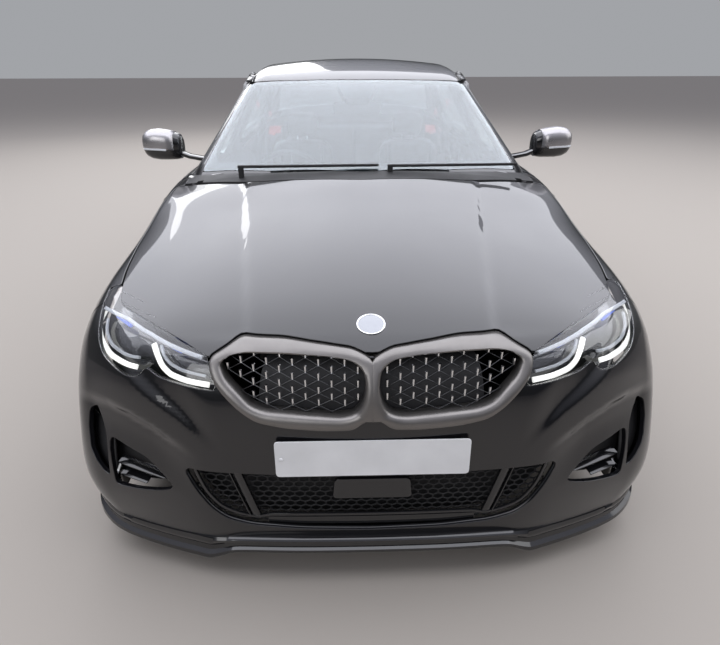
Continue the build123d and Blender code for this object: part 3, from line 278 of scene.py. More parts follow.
def top_height(x, y):
    """Height of the bonnet, shoulders and boot over a point in plan."""
    u = (np.abs(x) - grid_x[0]) / grid_step
    v = (y - grid_y[0]) / grid_step
    i = np.clip(u.astype(int), 1, len(grid_x) - 3)
    j = np.clip(v.astype(int), 1, len(grid_y) - 3)
    s = np.clip(u - i, -1, 2)
    t = np.clip(v - j, -1, 2)

    def weights(f):
        return (
            ((-0.5 * f + 1.0) * f - 0.5) * f, (1.5 * f - 2.5) * f * f + 1.0,
            ((-1.5 * f + 2.0) * f + 0.5) * f, (0.5 * f - 0.5) * f * f,
        )

    total = 0
    for a, across in enumerate(weights(s)):
        for b, along in enumerate(weights(t)):
            total = total + across * along * top_grid[i + a - 1, j + b - 1]
    return total


# %% Fields of the body
def end_line(x, corner_x, start_x):
    """Set-back of the nose or tail across the car, with its slope: a wide arc, then a tighter corner."""
    radius = (start_x ** 2 + shoulder_bow ** 2) / (2 * shoulder_bow)
    inner = radius - np.sqrt(radius ** 2 - np.minimum(x, start_x) ** 2)
    inner_slope = np.minimum(x, start_x) / np.sqrt(radius ** 2 - np.minimum(x, start_x) ** 2)
    run = corner_x - start_x
    rise = corner_run - shoulder_bow
    chord = np.sqrt(run ** 2 + rise ** 2)
    bend = (chord ** 2 / 4 + corner_sagitta ** 2) / (2 * corner_sagitta)
    back = bend - corner_sagitta
    middle_x = (start_x + corner_x) / 2 - back * rise / chord
    middle_y = (shoulder_bow + corner_run) / 2 + back * run / chord
    reach = np.clip(x - middle_x, -bend, 0.97 * bend)
    outer = middle_y - np.sqrt(bend ** 2 - reach ** 2)
    outer_slope = reach / np.sqrt(bend ** 2 - reach ** 2)
    outer = outer + outer_slope * (x - middle_x - reach)
    past = x > start_x
    return np.where(past, outer, inner), np.where(past, outer_slope, inner_slope)


# The bumper's face below the lamps: its slant, where that starts and eases in, its share, and its levels
blunt_slant, blunt_start, blunt_ease = 0.27, 0.46, 0.07
blunt_share, blunt_from, blunt_to = 0.77, 0.25, 0.80


def blunt_line(x):
    """Set-back of the bumper's face below the lamps, with its slope: almost flat, then a shallow slant."""
    over = x - blunt_start
    eased = np.maximum(over + blunt_ease, 0)
    ramp = np.where(over > blunt_ease, over, eased ** 2 / (4 * blunt_ease))
    slope = np.where(over > blunt_ease, 1.0, eased / (2 * blunt_ease))
    return 6 * mm + blunt_slant * ramp, blunt_slant * slope


def polyline_gap(x, z, points):
    """Signed gap from a line of points that runs sideways; positive above it."""
    xs, zs = np.array(points).T * mm
    return z - np.interp(x, xs, zs)


def nose_relief(x, z):
    """How far the bumper steps in below its creases and round its intakes."""
    below = -polyline_gap(x, z, nose_crease)
    step = fade(below, -10 * mm, 34 * mm) * (1 - fade(below, 60 * mm, 190 * mm))
    shelf = 16 * mm * step * fade(x, 0.46, 0.62) * (1 - fade(x, 0.80, 0.90))
    cheek = polyline_gap(x, z, cheek_crease)
    scoop = 10 * mm * fade(cheek, -36 * mm, 14 * mm) * (1 - fade(cheek, 10 * mm, 120 * mm))
    return shelf + scoop * fade(x, 0.40, 0.50) * (1 - fade(x, 0.64, 0.70))


# Each point as x and z: the crease over the side intake and the one that falls from the lamp's notch
nose_crease = [
    (380, 430), (478, 462), (527, 488), (604, 524), (688, 549), (749, 556), (816, 550), (1100, 520),
]
cheek_crease = [(380, 440), (415, 493), (519, 585), (623, 643), (700, 690), (760, 760)]


def nose_line(x, z):
    """Place of the nose's face at one height, with its slope across the car."""
    rows = waterline_at(np.clip(z, 0.0, 1.3))
    setback, slope = end_line(np.abs(x), rows[..., 0], shoulder_x["front"])
    return nose_y + rows[..., 3] + setback + nose_relief(np.abs(x), z), slope


def lower_body(points):
    """How far points lie outside the body below the glass."""
    x, y, z = np.abs(points[:, 0]), points[:, 1], points[:, 2]
    rows = waterline_at(np.clip(z, 0.0, 1.3))
    nose, nose_slope = nose_line(x, z)
    tail_setback, tail_slope = end_line(x, rows[:, 2], shoulder_x["rear"])
    tail = tail_y - rows[:, 4] - tail_setback
    front_end = nose_y + rows[:, 3] + corner_run
    rear_end = tail_y - rows[:, 4] - corner_run
    share_front = np.minimum(y / front_end, 1.25)
    share_rear = np.minimum(y / rear_end, 1.25)
    flank = rows[:, 1] - np.where(
        y < 0, (rows[:, 1] - rows[:, 0]) * share_front ** 2, (rows[:, 1] - rows[:, 2]) * share_rear ** 2
    )
    flank = flank + flank_relief(y, z)
    blunt = blunt_share * (1 - fade(z, blunt_from, blunt_to))
    setback, slope = blunt_line(x)
    face = (nose_y + rows[:, 3] + setback + nose_relief(x, z) - y) / np.sqrt(1 + slope ** 2)
    front = (nose - y) / np.sqrt(1 + nose_slope ** 2) * (1 - blunt) + face * blunt
    rear = (y - tail) / np.sqrt(1 + tail_slope ** 2)
    side = x - flank
    plan = blend_max(blend_max(front, side, (60 + 60 * blunt) * mm), rear, 60 * mm)
    height = top_height(x, y)
    step = 4 * mm
    slope_x = (top_height(x + step, y) - height) / step
    slope_y = (top_height(x, y + step) - height) / step
    top = (z - height) / np.sqrt(1 + slope_x ** 2 + slope_y ** 2)
    rounding = 26 * mm + 30 * mm * fade(x, 0.70, 0.88)
    return blend_max(plan, top, rounding)


def flank_relief(y, z):
    """Swell of the arch lips, the shoulder line and the hollow above the sill."""
    swell = 0
    for place in axle_y.values():
        radius = np.hypot(y - place, z - axle_z)
        swell = swell + 7 * mm * np.exp(-((radius - 0.37) / 0.045) ** 2) * fade(z, 0.25, 0.40)
    between = fade(y, -1.15, -0.75) * (1 - fade(y, 0.70, 1.05))
    sill = -11 * mm * np.exp(-((z - 0.37) / 0.055) ** 2) * between
    line_z = 0.765 + 0.030 * y
    past = (z - line_z) / (16 * mm)
    line = -7 * mm * 0.5 * (1 + np.tanh(past)) * np.exp(-np.maximum(z - line_z, 0) / 0.10)
    line = line * fade(y, -1.0, -0.3) * (1 - fade(y, 1.75, 2.1))
    return swell + sill + line


# %% Glass house and roof
# Columns: level, half width, then where the windscreen and rear window lie at the centre and at their corners
rings = np.array([
    (900, 821, -1264, -1030, 770, 2002, 1790, 730),
    (1480, 516, -112, -92, 500, 680, 640, 480),
]) * mm
roof_edge_x = 600 * mm
# Columns: station, heights at the centre line and over the rails
roof_rows = np.array([
    (-1400, 1100, 1085),
    (-800, 1246, 1230),
    (-380, 1347, 1330),
    (-150, 1395, 1367),
    (150, 1434, 1394),
    (350, 1438, 1396),
    (700, 1415, 1372),
    (960, 1372, 1330),
    (1500, 1262, 1222),
    (2300, 1070, 1030),
]) * mm
roof_at = smooth_curve(roof_rows[:, 0], roof_rows[:, 1:])


def glass_house(points):
    """How far points lie outside the glass, pillars and roof."""
    x, y, z = np.abs(points[:, 0]), points[:, 1], points[:, 2]
    share = (z - rings[0, 0]) / (rings[1, 0] - rings[0, 0])
    change = (rings[1] - rings[0]) / (rings[1, 0] - rings[0, 0])
    side, front_centre, front_corner, front_x, rear_centre, rear_corner, rear_x = (
        rings[0, 1:, None] + share * (rings[1] - rings[0])[1:, None]
    )
    front = front_centre + (front_corner - front_centre) * (x / front_x) ** 2
    front_slope = 2 * (front_corner - front_centre) * x / front_x ** 2
    rear = rear_centre + (rear_corner - rear_centre) * (x / rear_x) ** 2
    rear_slope = 2 * (rear_corner - rear_centre) * x / rear_x ** 2
    first = front_corner + 0.15
    last = rear_corner - 0.17
    along = np.clip((y - first) / (last - first), -0.6, 1.6)
    width = side + 12 * mm * along * (1 - along) - 8 * mm * along
    wall = (x - width) / np.sqrt(1 + change[1] ** 2)
    screen = (front - y) / np.sqrt(1 + front_slope ** 2 + change[2] ** 2)
    back = (y - rear) / np.sqrt(1 + rear_slope ** 2 + change[5] ** 2)
    centre, rail = roof_at(y).T
    fall = (centre - rail) / roof_edge_x ** 2
    roof = (z - centre + fall * x ** 2) / np.sqrt(1.03 + (2 * fall * x) ** 2)
    plan = blend_max(blend_max(screen, wall, 70 * mm), back, 70 * mm)
    return blend_max(plan, roof, 42 * mm)


# %% Casting rays and reading normals
def cast(field, origins, directions, reach, inset=0.0, turns=24):
    """Points where rays that start inside leave the body, less an inset."""
    low = np.zeros(len(origins))
    high = np.full(len(origins), float(reach))
    for _ in range(turns):
        middle = (low + high) / 2
        outside = field(origins + middle[:, None] * directions) > -inset
        high = np.where(outside, middle, high)
        low = np.where(outside, low, middle)
    return origins + ((low + high) / 2)[:, None] * directions


def field_normals(field, points, step=1.5 * mm):
    """Directions in which the field rises fastest."""
    offsets = np.eye(3) * step
    slopes = [field(points + offset) - field(points - offset) for offset in offsets]
    normals = np.stack(slopes, axis=1)
    return normals / np.linalg.norm(normals, axis=1, keepdims=True)


probe = cast(lower_body, np.array([[0, -1.4, 0.6]]), np.array([[0, -1.0, 0]]), 1.5)
print("nose at height 0.6:", probe.round(4))

# %% [markdown]
# ## From field to panel
# A panel starts as a regular sheet of points cast onto the body. It is then cut exactly along its outline,
# its edge is rolled over as folded sheet metal is, and it gets a back face, so it is a closed thick shell.
# Normals come from the field, so cut edges leave no ripples in the gloss.

# %% Outlines
def rounded(points, radius, closed=True):
    """Outline in metres with each corner turned by a short arc."""
    corners = np.array(points, float)
    count = len(corners)
    path = []
    for index in range(count):
        here = corners[index]
        if not closed and index in (0, count - 1):
            path.append(here)
            continue
        back = corners[index - 1] - here
        ahead = corners[(index + 1) % count] - here
        cut = min(radius, 0.42 * np.linalg.norm(back), 0.42 * np.linalg.norm(ahead))
        start = here + back / np.linalg.norm(back) * cut
        end = here + ahead / np.linalg.norm(ahead) * cut
        for share in np.linspace(0, 1, 6):
            path.append((1 - share) ** 2 * start + 2 * share * (1 - share) * here + share ** 2 * end)
    return np.array(path)


def outline_mm(points, radius=20):
    """Rounded outline from points in millimetres."""
    return rounded(np.array(points, float) * mm, radius * mm)


def across(points):
    """The same outline on the other side of the centre line."""
    return np.array(points) * (-1, 1)


def both(half):
    """Outline over the centre line from the points of its left half."""
    return list(half) + [(-x, v) for x, v in reversed(half) if x > 0]


def inside(flat, outline):
    """Signed distance of flat points to an outline, positive inside."""
    nearest = np.full(len(flat), np.inf)
    crossings = np.zeros(len(flat), int)
    for start, end in zip(outline, np.roll(outline, -1, axis=0)):
        run = end - start
        length = run @ run
        if length < 1e-14:
            continue
        share = np.clip(((flat - start) @ run) / length, 0, 1)
        gap = flat - start - share[:, None] * run
        nearest = np.minimum(nearest, (gap ** 2).sum(axis=1))
        spans = (start[1] > flat[:, 1]) != (end[1] > flat[:, 1])
        if run[1]:
            crossings += spans & (flat[:, 0] < start[0] + (flat[:, 1] - start[1]) * run[0] / run[1])
    return np.where(crossings % 2 == 1, 1, -1) * np.sqrt(nearest)


view_axes = {"side": (1, 2), "plan": (0, 1), "front": (0, 2)}


def within(view, outline, grow=0.0):
    """Limit that keeps what lies inside an outline seen from the side, above or ahead."""
    return lambda points: inside(points[:, view_axes[view]], outline) + grow


def outside(view, outline, grow=0.0, where=None):
    """Limit that cuts an outline out, where the given test holds."""
    def limit(points):
        value = -inside(points[:, view_axes[view]], outline) - grow
        return value if where is None else np.where(where(points), value, 1.0)
    return limit


def above(axis, place):
    """Limit that keeps what lies past a place on one axis."""
    return lambda points: points[:, axis] - place


def under(axis, place):
    """Limit that keeps what lies short of a place on one axis."""
    return lambda points: place - points[:, axis]


def clear_of_wheel(axle, radius):
    """Limit that cuts a wheel's arch out."""
    return lambda points: np.hypot(points[:, 1] - axle_y[axle], points[:, 2] - axle_z) - radius


# %% Sheets of points
def sheet_faces(rows, columns):
    """Triangles between the points of a regular sheet."""
    index = np.arange(rows * columns).reshape(rows, columns)
    a, b, c, d = index[:-1, :-1], index[:-1, 1:], index[1:, 1:], index[1:, :-1]
    return np.concatenate([np.stack([a, b, c], -1).reshape(-1, 3), np.stack([a, c, d], -1).reshape(-1, 3)])


# Every step of a sheet is widened by this share
sheet_pitch = 1.32


def spread(low, high, step):
    """Even places between two ends, about one step times the sheet's pitch apart."""
    return np.linspace(low, high, max(3, int(round((high - low) / (step * sheet_pitch))) + 1))


def chart(first, second, ray):
    """Origins and directions of a sheet of rays from two spreads and a rule."""
    a, b = np.meshgrid(first, second, indexing="ij")
    origin, direction = ray(a.ravel(), b.ravel())
    return np.stack(origin, 1), np.stack(direction, 1), (len(first), len(second))


def from_below(x_range, y_range, step, start=0.45):
    """Rays straight up from a level sheet."""
    return chart(spread(*x_range, step), spread(*y_range, step), lambda x, y: (
        (x, y, np.full_like(x, start)), (0 * x, 0 * x, 0 * x + 1)))


def from_spine(y_range, turn_range, step, spine=(0.40, 0.45)):
    """Rays that fan out to the left from a line along the car."""
    turns = spread(math.radians(turn_range[0]), math.radians(turn_range[1]), step / 0.5)
    return chart(spread(*y_range, step), turns, lambda y, t: (
        (0 * y + spine[0], y, 0 * y + spine[1]), (np.cos(t), 0 * y, np.sin(t))))


def from_post(z_range, turn_range, step, post_y, ahead=-1):
    """Level rays that fan out from an upright line, ahead for -1 and behind for 1."""
    turns = spread(math.radians(turn_range[0]), math.radians(turn_range[1]), step)
    return chart(spread(*z_range, step), turns, lambda z, t: (
        (0 * z, 0 * z + post_y, z), (np.sin(t), ahead * np.cos(t), 0 * z)))


def from_bar(x_range, turn_range, step, bar=(1.90, 0.75)):
    """Rays that fan out behind a line across the car."""
    turns = spread(math.radians(turn_range[0]), math.radians(turn_range[1]), step / 0.4)
    return chart(spread(*x_range, step), turns, lambda x, t: (
        (x, 0 * x + bar[0], 0 * x + bar[1]), (0 * x, np.cos(t), np.sin(t))))


def cut(points, faces, values):
    """Cuts triangles exactly along the line where values change sign and keeps the positive side."""
    values = np.where(np.abs(values) < 1e-7, 1e-7, values)
    kept = values > 0
    state = kept[faces]
    count = state.sum(axis=1)
    whole = faces[count == 3]
    new_faces = [whole]
    ends = []
    total = len(points)
    for lone_kept in (True, False):
        some = faces[count == (1 if lone_kept else 2)]
        if not len(some):
            continue
        flags = kept[some] == lone_kept
        lone = flags.argmax(axis=1)
        rows = np.arange(len(some))
        a = some[rows, lone]
        b = some[rows, (lone + 1) % 3]
        c = some[rows, (lone + 2) % 3]
        ab = total + rows
        ac = ab + len(some)
        total += 2 * len(some)
        ends += [np.stack([a, b], 1), np.stack([a, c], 1)]
        if lone_kept:
            new_faces.append(np.stack([a, ab, ac], 1))
        else:
            new_faces += [np.stack([ab, b, c], 1), np.stack([ab, c, ac], 1)]
    if ends:
        ends = np.sort(np.concatenate(ends), axis=1)
        unique, back = np.unique(ends, axis=0, return_inverse=True)
        low, high = unique.T
        share = values[low] / (values[low] - values[high])
        fresh = points[low] + share[:, None] * (points[high] - points[low])
        points_all = np.concatenate([points, fresh])
        remap = np.concatenate([np.arange(len(points)), len(points) + back.ravel()])
        faces = remap[np.concatenate(new_faces)]
    else:
        points_all, faces = points, whole
    used, faces = np.unique(faces, return_inverse=True)
    return points_all[used], faces.reshape(-1, 3)


def weld(points, faces, distance=1.3 * mm):
    """Merges the slivers that a cut leaves."""
    shape = bmesh.new()
    made = [shape.verts.new(p) for p in points]
    for a, b, c in faces:
        if a != b and b != c and a != c:
            shape.faces.new((made[a], made[b], made[c]))
    bmesh.ops.remove_doubles(shape, verts=shape.verts, dist=distance)
    loose = [v for v in shape.verts if not v.link_faces]
    bmesh.ops.delete(shape, geom=loose, context="VERTS")
    shape.verts.ensure_lookup_table()
    shape.verts.index_update()
    points = np.array([v.co for v in shape.verts])
    faces = np.array([[v.index for v in f.verts] for f in shape.faces])
    shape.free()
    return points, faces


def rim_edges(faces):
    """Directed edges that only one triangle has."""
    edges = np.concatenate([faces[:, [0, 1]], faces[:, [1, 2]], faces[:, [2, 0]]])
    keys = np.sort(edges, axis=1)
    _, first, counts = np.unique(keys, axis=0, return_index=True, return_counts=True)
    return edges[first[counts == 1]]


def rim_outward(points, normals, edges):
    """At each edge vertex, the direction in the surface that leaves the panel."""
    run = points[edges[:, 1]] - points[edges[:, 0]]
    sideways = np.cross(run, normals[edges[:, 0]] + normals[edges[:, 1]])
    outward = np.zeros_like(points)
    np.add.at(outward, edges[:, 0], sideways)
    np.add.at(outward, edges[:, 1], sideways)
    outward -= (outward * normals).sum(axis=1, keepdims=True) * normals
    length = np.linalg.norm(outward, axis=1, keepdims=True)
    return outward / np.maximum(length, 1e-9)


def thick_shell(points, faces, normals, thickness, roll):
    """Closed shell with a rolled edge: front, rim and back, each with its own normals."""
    edges = rim_edges(faces)
    rim = np.unique(edges)
    slot_of = np.full(len(points), -1)
    slot_of[rim] = np.arange(len(rim))
    outward = rim_outward(points, normals, edges)[rim]
    face_out = normals[rim]
    base = points[rim]
    all_points = [points]
    all_normals = [normals]
    all_faces = [faces.tolist()]
    previous = rim
    total = len(points)
    levels = [math.radians(turn) for turn in (30, 60, 90)]
    rings = [
        (base + outward * roll * math.sin(t) - face_out * roll * (1 - math.cos(t)),
         face_out * math.cos(t) + outward * math.sin(t)) for t in levels
    ]
    rings.append((base + outward * roll - face_out * thickness, outward))
    rings.append((base + outward * roll - face_out * thickness, -face_out))
    join = [True, True, True, True, False]
    for (place, facing), joined in zip(rings, join):
        ring = total + np.arange(len(rim))
        if joined:
            a, b = slot_of[edges[:, 0]], slot_of[edges[:, 1]]
            all_faces.append(np.stack([previous[b], previous[a], ring[a], ring[b]], 1).tolist())
        all_points.append(place)
        all_normals.append(facing)
        previous = ring
        total += len(rim)
    back = total + np.arange(len(points))
    a, b = edges[:, 0], edges[:, 1]
    all_faces.append(np.stack([previous[slot_of[b]], previous[slot_of[a]], back[a], back[b]], 1).tolist())
    all_points.append(points - normals * thickness)
    all_normals.append(-normals)
    all_faces.append(back[faces[:, ::-1]].tolist())
    return np.concatenate(all_points), sum(all_faces, []), np.concatenate(all_normals)


# %% Objects from arrays
def make_object(name, points, faces, material, normals=None):
    """Object with its place in its mesh, smooth shaded."""
    mesh = bpy.data.meshes.new(name)
    mesh.from_pydata(np.asarray(points).tolist(), [], faces if isinstance(faces, list) else faces.tolist())
    mesh.shade_smooth()
    if normals is not None:
        mesh.normals_split_custom_set_from_vertices(np.asarray(normals).tolist())
    if material:
        mesh.materials.append(material)
    piece = bpy.data.objects.new(name, mesh)
    bpy.context.scene.collection.objects.link(piece)
    return piece


def cut_sheet(field, rays, limits, inset=0.0, reach=2.0):
    """Sheet of points on the body, cut along each limit, with its normals."""
    origins, directions, shape = rays
    points = cast(field, origins, directions, reach, inset)
    faces = sheet_faces(*shape)
    for limit in limits:
        if len(faces):
            points, faces = cut(points, faces, limit(points))
    points, faces = weld(points, faces)
    normals = field_normals(field, points)
    a, b, c = points[faces].transpose(1, 0, 2)
    facing = (np.cross(b - a, c - a) * normals[faces[:, 0]]).sum()
    if facing < 0:
        faces = faces[:, ::-1]
    return points, faces, normals


def panel(name, field, rays, limits, material, body, thickness=9 * mm, roll=2 * mm, inset=0.0):
    """Thick panel of the outer skin, riding on its body."""
    points, faces, normals = cut_sheet(field, rays, limits, inset)
    points, faces, normals = thick_shell(points, faces, normals, thickness, roll)
    piece = make_object(name, points, faces, material, normals)
    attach(piece, body)
    return piece


def mirrored_copy(piece, name, body):
    """The same piece on the car's right, turned so that its faces point outwards."""
    source = piece.data
    points = np.zeros(len(source.vertices) * 3)
    source.vertices.foreach_get("co", points)
    corner_normals = np.zeros(len(source.loops) * 3)
    source.corner_normals.foreach_get("vector", corner_normals)
    corner_normals = corner_normals.reshape(-1, 3) * (-1, 1, 1)
    faces, order = [], []
    for face in source.polygons:
        ring = list(face.vertices)
        loops = list(face.loop_indices)
        faces.append(ring[::-1])
        order += loops[::-1]
    copy = make_object(name, points.reshape(-1, 3) * (-1, 1, 1), faces, None)
    for slot in source.materials:
        copy.data.materials.append(slot)
    for here, there in zip(copy.data.polygons, source.polygons):
        here.material_index = there.material_index
        here.use_smooth = there.use_smooth
    copy.data.normals_split_custom_set(corner_normals[order].tolist())
    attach(copy, body)
    return copy


def share_modifiers(piece, copy, *keys):
    """Gives a mirrored copy the modifiers of its piece, with the values named."""
    for modifier in piece.modifiers:
        twin = copy.modifiers.new(modifier.name, modifier.type)
        for key in keys:
            setattr(twin, key, getattr(modifier, key))

# %% [markdown]
# ## Finishes
# Each surface has its own small node tree. Two effects are shared as groups: a fine noise that breaks up
# colour and roughness, and a grain for moulded plastic and hide. Shaders stay in the materials themselves.

# %% Shared effects
def new_group(name, inputs, outputs):
    """Empty shader node group with named sockets."""
    group = bpy.data.node_groups.new(name, "ShaderNodeTree")
    for title, value in inputs.items():
        group.interface.new_socket(title, in_out="INPUT", socket_type="NodeSocketFloat").default_value = value
    for title, kind in outputs.items():
        group.interface.new_socket(title, in_out="OUTPUT", socket_type=kind)
    return group, group.nodes.new("NodeGroupInput"), group.nodes.new("NodeGroupOutput")


def build_dust():
    """Roughness that drifts over a surface, with a mask of settled dust."""
    group, entry, exit = new_group(
        "drift_and_dust", {"Scale": 6.0, "Low": 0.05, "High": 0.12}, {"Value": "NodeSocketFloat"}
    )
    place = group.nodes.new("ShaderNodeTexCoord")
    noise = set_inputs(group.nodes.new("ShaderNodeTexNoise"), Detail=5.0)
    ramp = group.nodes.new("ShaderNodeMapRange")
    join_sockets(group, [
        (place, "Object", noise, "Vector"), (entry, "Scale", noise, "Scale"),
        (noise, "Fac", ramp, "Value"),
        (entry, "Low", ramp, "To Min"), (entry, "High", ramp, "To Max"), (ramp, "Result", exit, "Value"),
    ])
    return group


def build_grain():
    """Height of a leathery grain for moulded plastic and hide."""
    group, entry, exit = new_group("moulded_grain", {"Scale": 900.0}, {"Height": "NodeSocketFloat"})
    place = group.nodes.new("ShaderNodeTexCoord")
    cells = group.nodes.new("ShaderNodeTexVoronoi")
    cells.feature = "DISTANCE_TO_EDGE"
    join_sockets(group, [
        (place, "Object", cells, "Vector"), (entry, "Scale", cells, "Scale"),
        (cells, "Distance", exit, "Height"),
    ])
    return group


dust_group = build_dust()
grain_group = build_grain()


def group_node(tree, group, **values):
    """One of the shared effects in a material's tree."""
    node = tree.nodes.new("ShaderNodeGroup")
    node.node_tree = group
    return set_inputs(node, **values)


def add_bump(tree, source, output, strength, distance):
    """Bump on a material's shader, driven by one output of a node."""
    bump = set_inputs(tree.nodes.new("ShaderNodeBump"), Strength=strength, Distance=distance)
    shader = tree.nodes["Principled BSDF"]
    join_sockets(tree, [(source, output, bump, "Height"), (bump, "Normal", shader, "Normal")])


def finish_of(name, colour, roughness, metallic=0.0, spread=0.3, scale=5.0, grain=0.0, grain_scale=900.0,
              **sockets):
    """Material whose colour and roughness drift a little, with an optional grain."""
    material = new_material(name, Metallic=metallic, **sockets)
    tree = material.node_tree
    low, high = roughness * (1 - spread), roughness * (1 + spread)
    drift = group_node(tree, dust_group, Scale=scale, Low=low, High=high)
    tone = group_node(tree, dust_group, Scale=scale * 2.3, Low=0.0, High=1.0)
    ramp = tree.nodes.new("ShaderNodeValToRGB")
    ramp.color_ramp.elements[0].color = (*[0.86 * c for c in colour], 1.0)
    ramp.color_ramp.elements[1].color = (*[min(1.0, 1.12 * c) for c in colour], 1.0)
    shader = tree.nodes["Principled BSDF"]
    join_sockets(tree, [
        (drift, "Value", shader, "Roughness"), (tone, "Value", ramp, "Fac"),
        (ramp, "Color", shader, "Base Color"),
    ])
    if grain:
        add_bump(tree, group_node(tree, grain_group, Scale=grain_scale), "Height", grain, 0.4 * mm)
    return material


# %% Paint with metal flake
def build_paint():
    """Black metallic paint: dark flakes under a clear coat."""
    material = finish_of(
        "black_paint", (0.0035, 0.0035, 0.005), 0.34, metallic=0.15, scale=3.0, Specular_IOR_Level=0.25,
        Coat_Weight=1.0, Coat_Roughness=0.025, Coat_IOR=1.55,
    )
    tree = material.node_tree
    place = tree.nodes.new("ShaderNodeTexCoord")
    flakes = set_inputs(tree.nodes.new("ShaderNodeTexVoronoi"), Scale=1600.0)
    join_sockets(tree, [(place, "Object", flakes, "Vector")])
    add_bump(tree, flakes, "Distance", 0.10, 0.2 * mm)
    return material


paint = build_paint()
gloss_black = finish_of("gloss_black_trim", (0.008, 0.008, 0.009), 0.10, Coat_Weight=0.6)
matt_black = finish_of("matt_black_plastic", (0.014, 0.014, 0.015), 0.62, grain=0.35)
dark_metal = finish_of("dark_underbody", (0.035, 0.036, 0.038), 0.55, metallic=0.6)
cast_metal = finish_of("cast_alloy", (0.36, 0.36, 0.37), 0.42, metallic=0.9, grain=0.2, grain_scale=400.0)
disc_steel = finish_of("brake_steel", (0.50, 0.50, 0.50), 0.28, metallic=1.0, scale=40.0)
rim_paint = finish_of("rim_paint", (0.030, 0.031, 0.034), 0.22, metallic=0.7, Coat_Weight=0.8)
satin_grey = finish_of("satin_grey", (0.21, 0.20, 0.192), 0.36, metallic=0.85, scale=9.0)
mirror_satin = finish_of("mirror_satin", (0.40, 0.39, 0.40), 0.30, metallic=0.85, scale=9.0)
bright_metal = finish_of("bright_metal", (0.80, 0.80, 0.80), 0.14, metallic=1.0)
rubber = finish_of("tyre_rubber", (0.018, 0.018, 0.018), 0.75, grain=0.3, grain_scale=500.0)
seal_rubber = finish_of("seal_rubber", (0.010, 0.010, 0.010), 0.50)
cabin_plastic = finish_of("cabin_plastic", (0.024, 0.024, 0.026), 0.58, grain=0.5, grain_scale=700.0)
hide = finish_of("black_hide", (0.022, 0.021, 0.021), 0.46, grain=0.7, grain_scale=380.0, Sheen_Weight=0.08)
carpet = finish_of("cabin_carpet", (0.018, 0.018, 0.019), 0.95, grain=1.0, grain_scale=260.0)
plate_white = finish_of("plate_white", (0.74, 0.75, 0.76), 0.32)
badge_grey = finish_of("badge_grey", (0.30, 0.31, 0.33), 0.25, metallic=0.9)
exhaust_steel = finish_of("exhaust_steel", (0.55, 0.54, 0.52), 0.25, metallic=1.0, scale=20.0)


# %% Glass and lamps
def glass_of(name, colour, roughness=0.02, ior=1.5):
    """Clear or tinted glass."""
    return new_material(
        name, Base_Color=(*colour, 1.0), Roughness=roughness, IOR=ior, Transmission_Weight=1.0
    )


def glow_of(name, colour, strength):
    """Light guide that shines by itself."""
    material = finish_of(name, colour, 0.3)
    shader = material.node_tree.nodes["Principled BSDF"]
    set_inputs(shader, Emission_Color=(*colour, 1.0), Emission_Strength=strength)
    return material


window_glass = glass_of("window_glass", (0.80, 0.87, 0.86))
screen_glass = glass_of("screen_glass", (0.70, 0.80, 0.84), 0.02, 1.85)
privacy_glass = glass_of("privacy_glass", (0.42, 0.46, 0.47))
lens_clear = glass_of("lens_clear", (0.96, 0.97, 0.98), 0.01, 1.45)
red_lens = glass_of("red_lens", (0.62, 0.012, 0.010), 0.03, 1.49)
guide_white = glow_of("guide_white", (0.95, 0.95, 0.90), 0.9)
guide_dim = glow_of("guide_dim", (0.55, 0.57, 0.60), 0.15)
guide_blue = glow_of("guide_blue", (0.07, 0.16, 0.75), 0.35)
print("materials", len(bpy.data.materials))

# %% [markdown]
# ## Outer panels
# The outlines repeat the real shut lines, seen from the side, from above or from ahead. Each is drawn
# in by the roll of the panel's edge, so the gaps between panels stay six millimetres wide.

# %% Outlines of the panels
gap = 6 * mm
edge_roll = 2 * mm
front_door_line = outline_mm([
    (-1040, 262), (-1052, 600), (-1012, 900), (-985, 934), (-905, 938), (-330, 1286),
    (-200, 1346), (-50, 1366), (54, 1371), (7, 950), (-13, 262),
], 26)
rear_door_line = outline_mm([
    (-7, 262), (13, 950), (60, 1371), (250, 1376), (600, 1354), (850, 1290), (1040, 1195),
    (1130, 1085), (1140, 1010), (1112, 900), (1080, 700), (960, 560), (880, 420), (820, 262),
], 40)
front_glass_line = outline_mm([
    (-785, 965), (-42, 978), (0, 1334), (-70, 1330), (-190, 1314), (-300, 1257),
], 22)
rear_glass_line = outline_mm([
    (66, 980), (1065, 1000), (1090, 1050), (1005, 1155), (825, 1248), (585, 1314), (250, 1338), (110, 1335),
], 22)
windscreen_line = outline_mm(both([
    (0, -1095), (400, -1040), (735, -935), (592, -335), (300, -370), (0, -382),
]), 30)
roof_line = outline_mm(both([
    (0, -379), (300, -367), (560, -333), (548, -100), (548, 700), (524, 868), (300, 908), (0, 920),
]), 30)
rear_window_line = outline_mm(both([
    (0, 923), (300, 911), (524, 872), (662, 1500), (400, 1545), (0, 1560),
]), 30)
glazing_line = outline_mm(both([
    (0, -1095), (400, -1040), (735, -935), (592, -335), (560, -330), (548, -100), (548, 700), (524, 872),
    (662, 1500), (400, 1545), (0, 1560),
]), 20)
bonnet_line = outline_mm(both([
    (0, -2271), (122, -2247), (227, -2226), (348, -2209), (426, -2250), (507, -2190), (592, -2125),
    (700, -2026), (752, -1974), (778, -1889), (801, -1766), (826, -1553), (833, -1262), (802, -1084),
    (500, -1156), (0, -1201),
]), 30)
cowl_line = outline_mm(both([
    (0, -1187), (500, -1142), (776, -1069), (776, -985), (735, -938), (400, -1043), (0, -1098),
]))
boot_line = outline_mm(both([(0, 1622), (300, 1616), (560, 1604), (600, 1720), (600, 2500), (0, 2500)]), 40)
boot_face_line = outline_mm([
    (-600, 1200), (-600, 900), (-492, 890), (-470, 722), (470, 722), (492, 890), (600, 900), (600, 1200),
], 16)
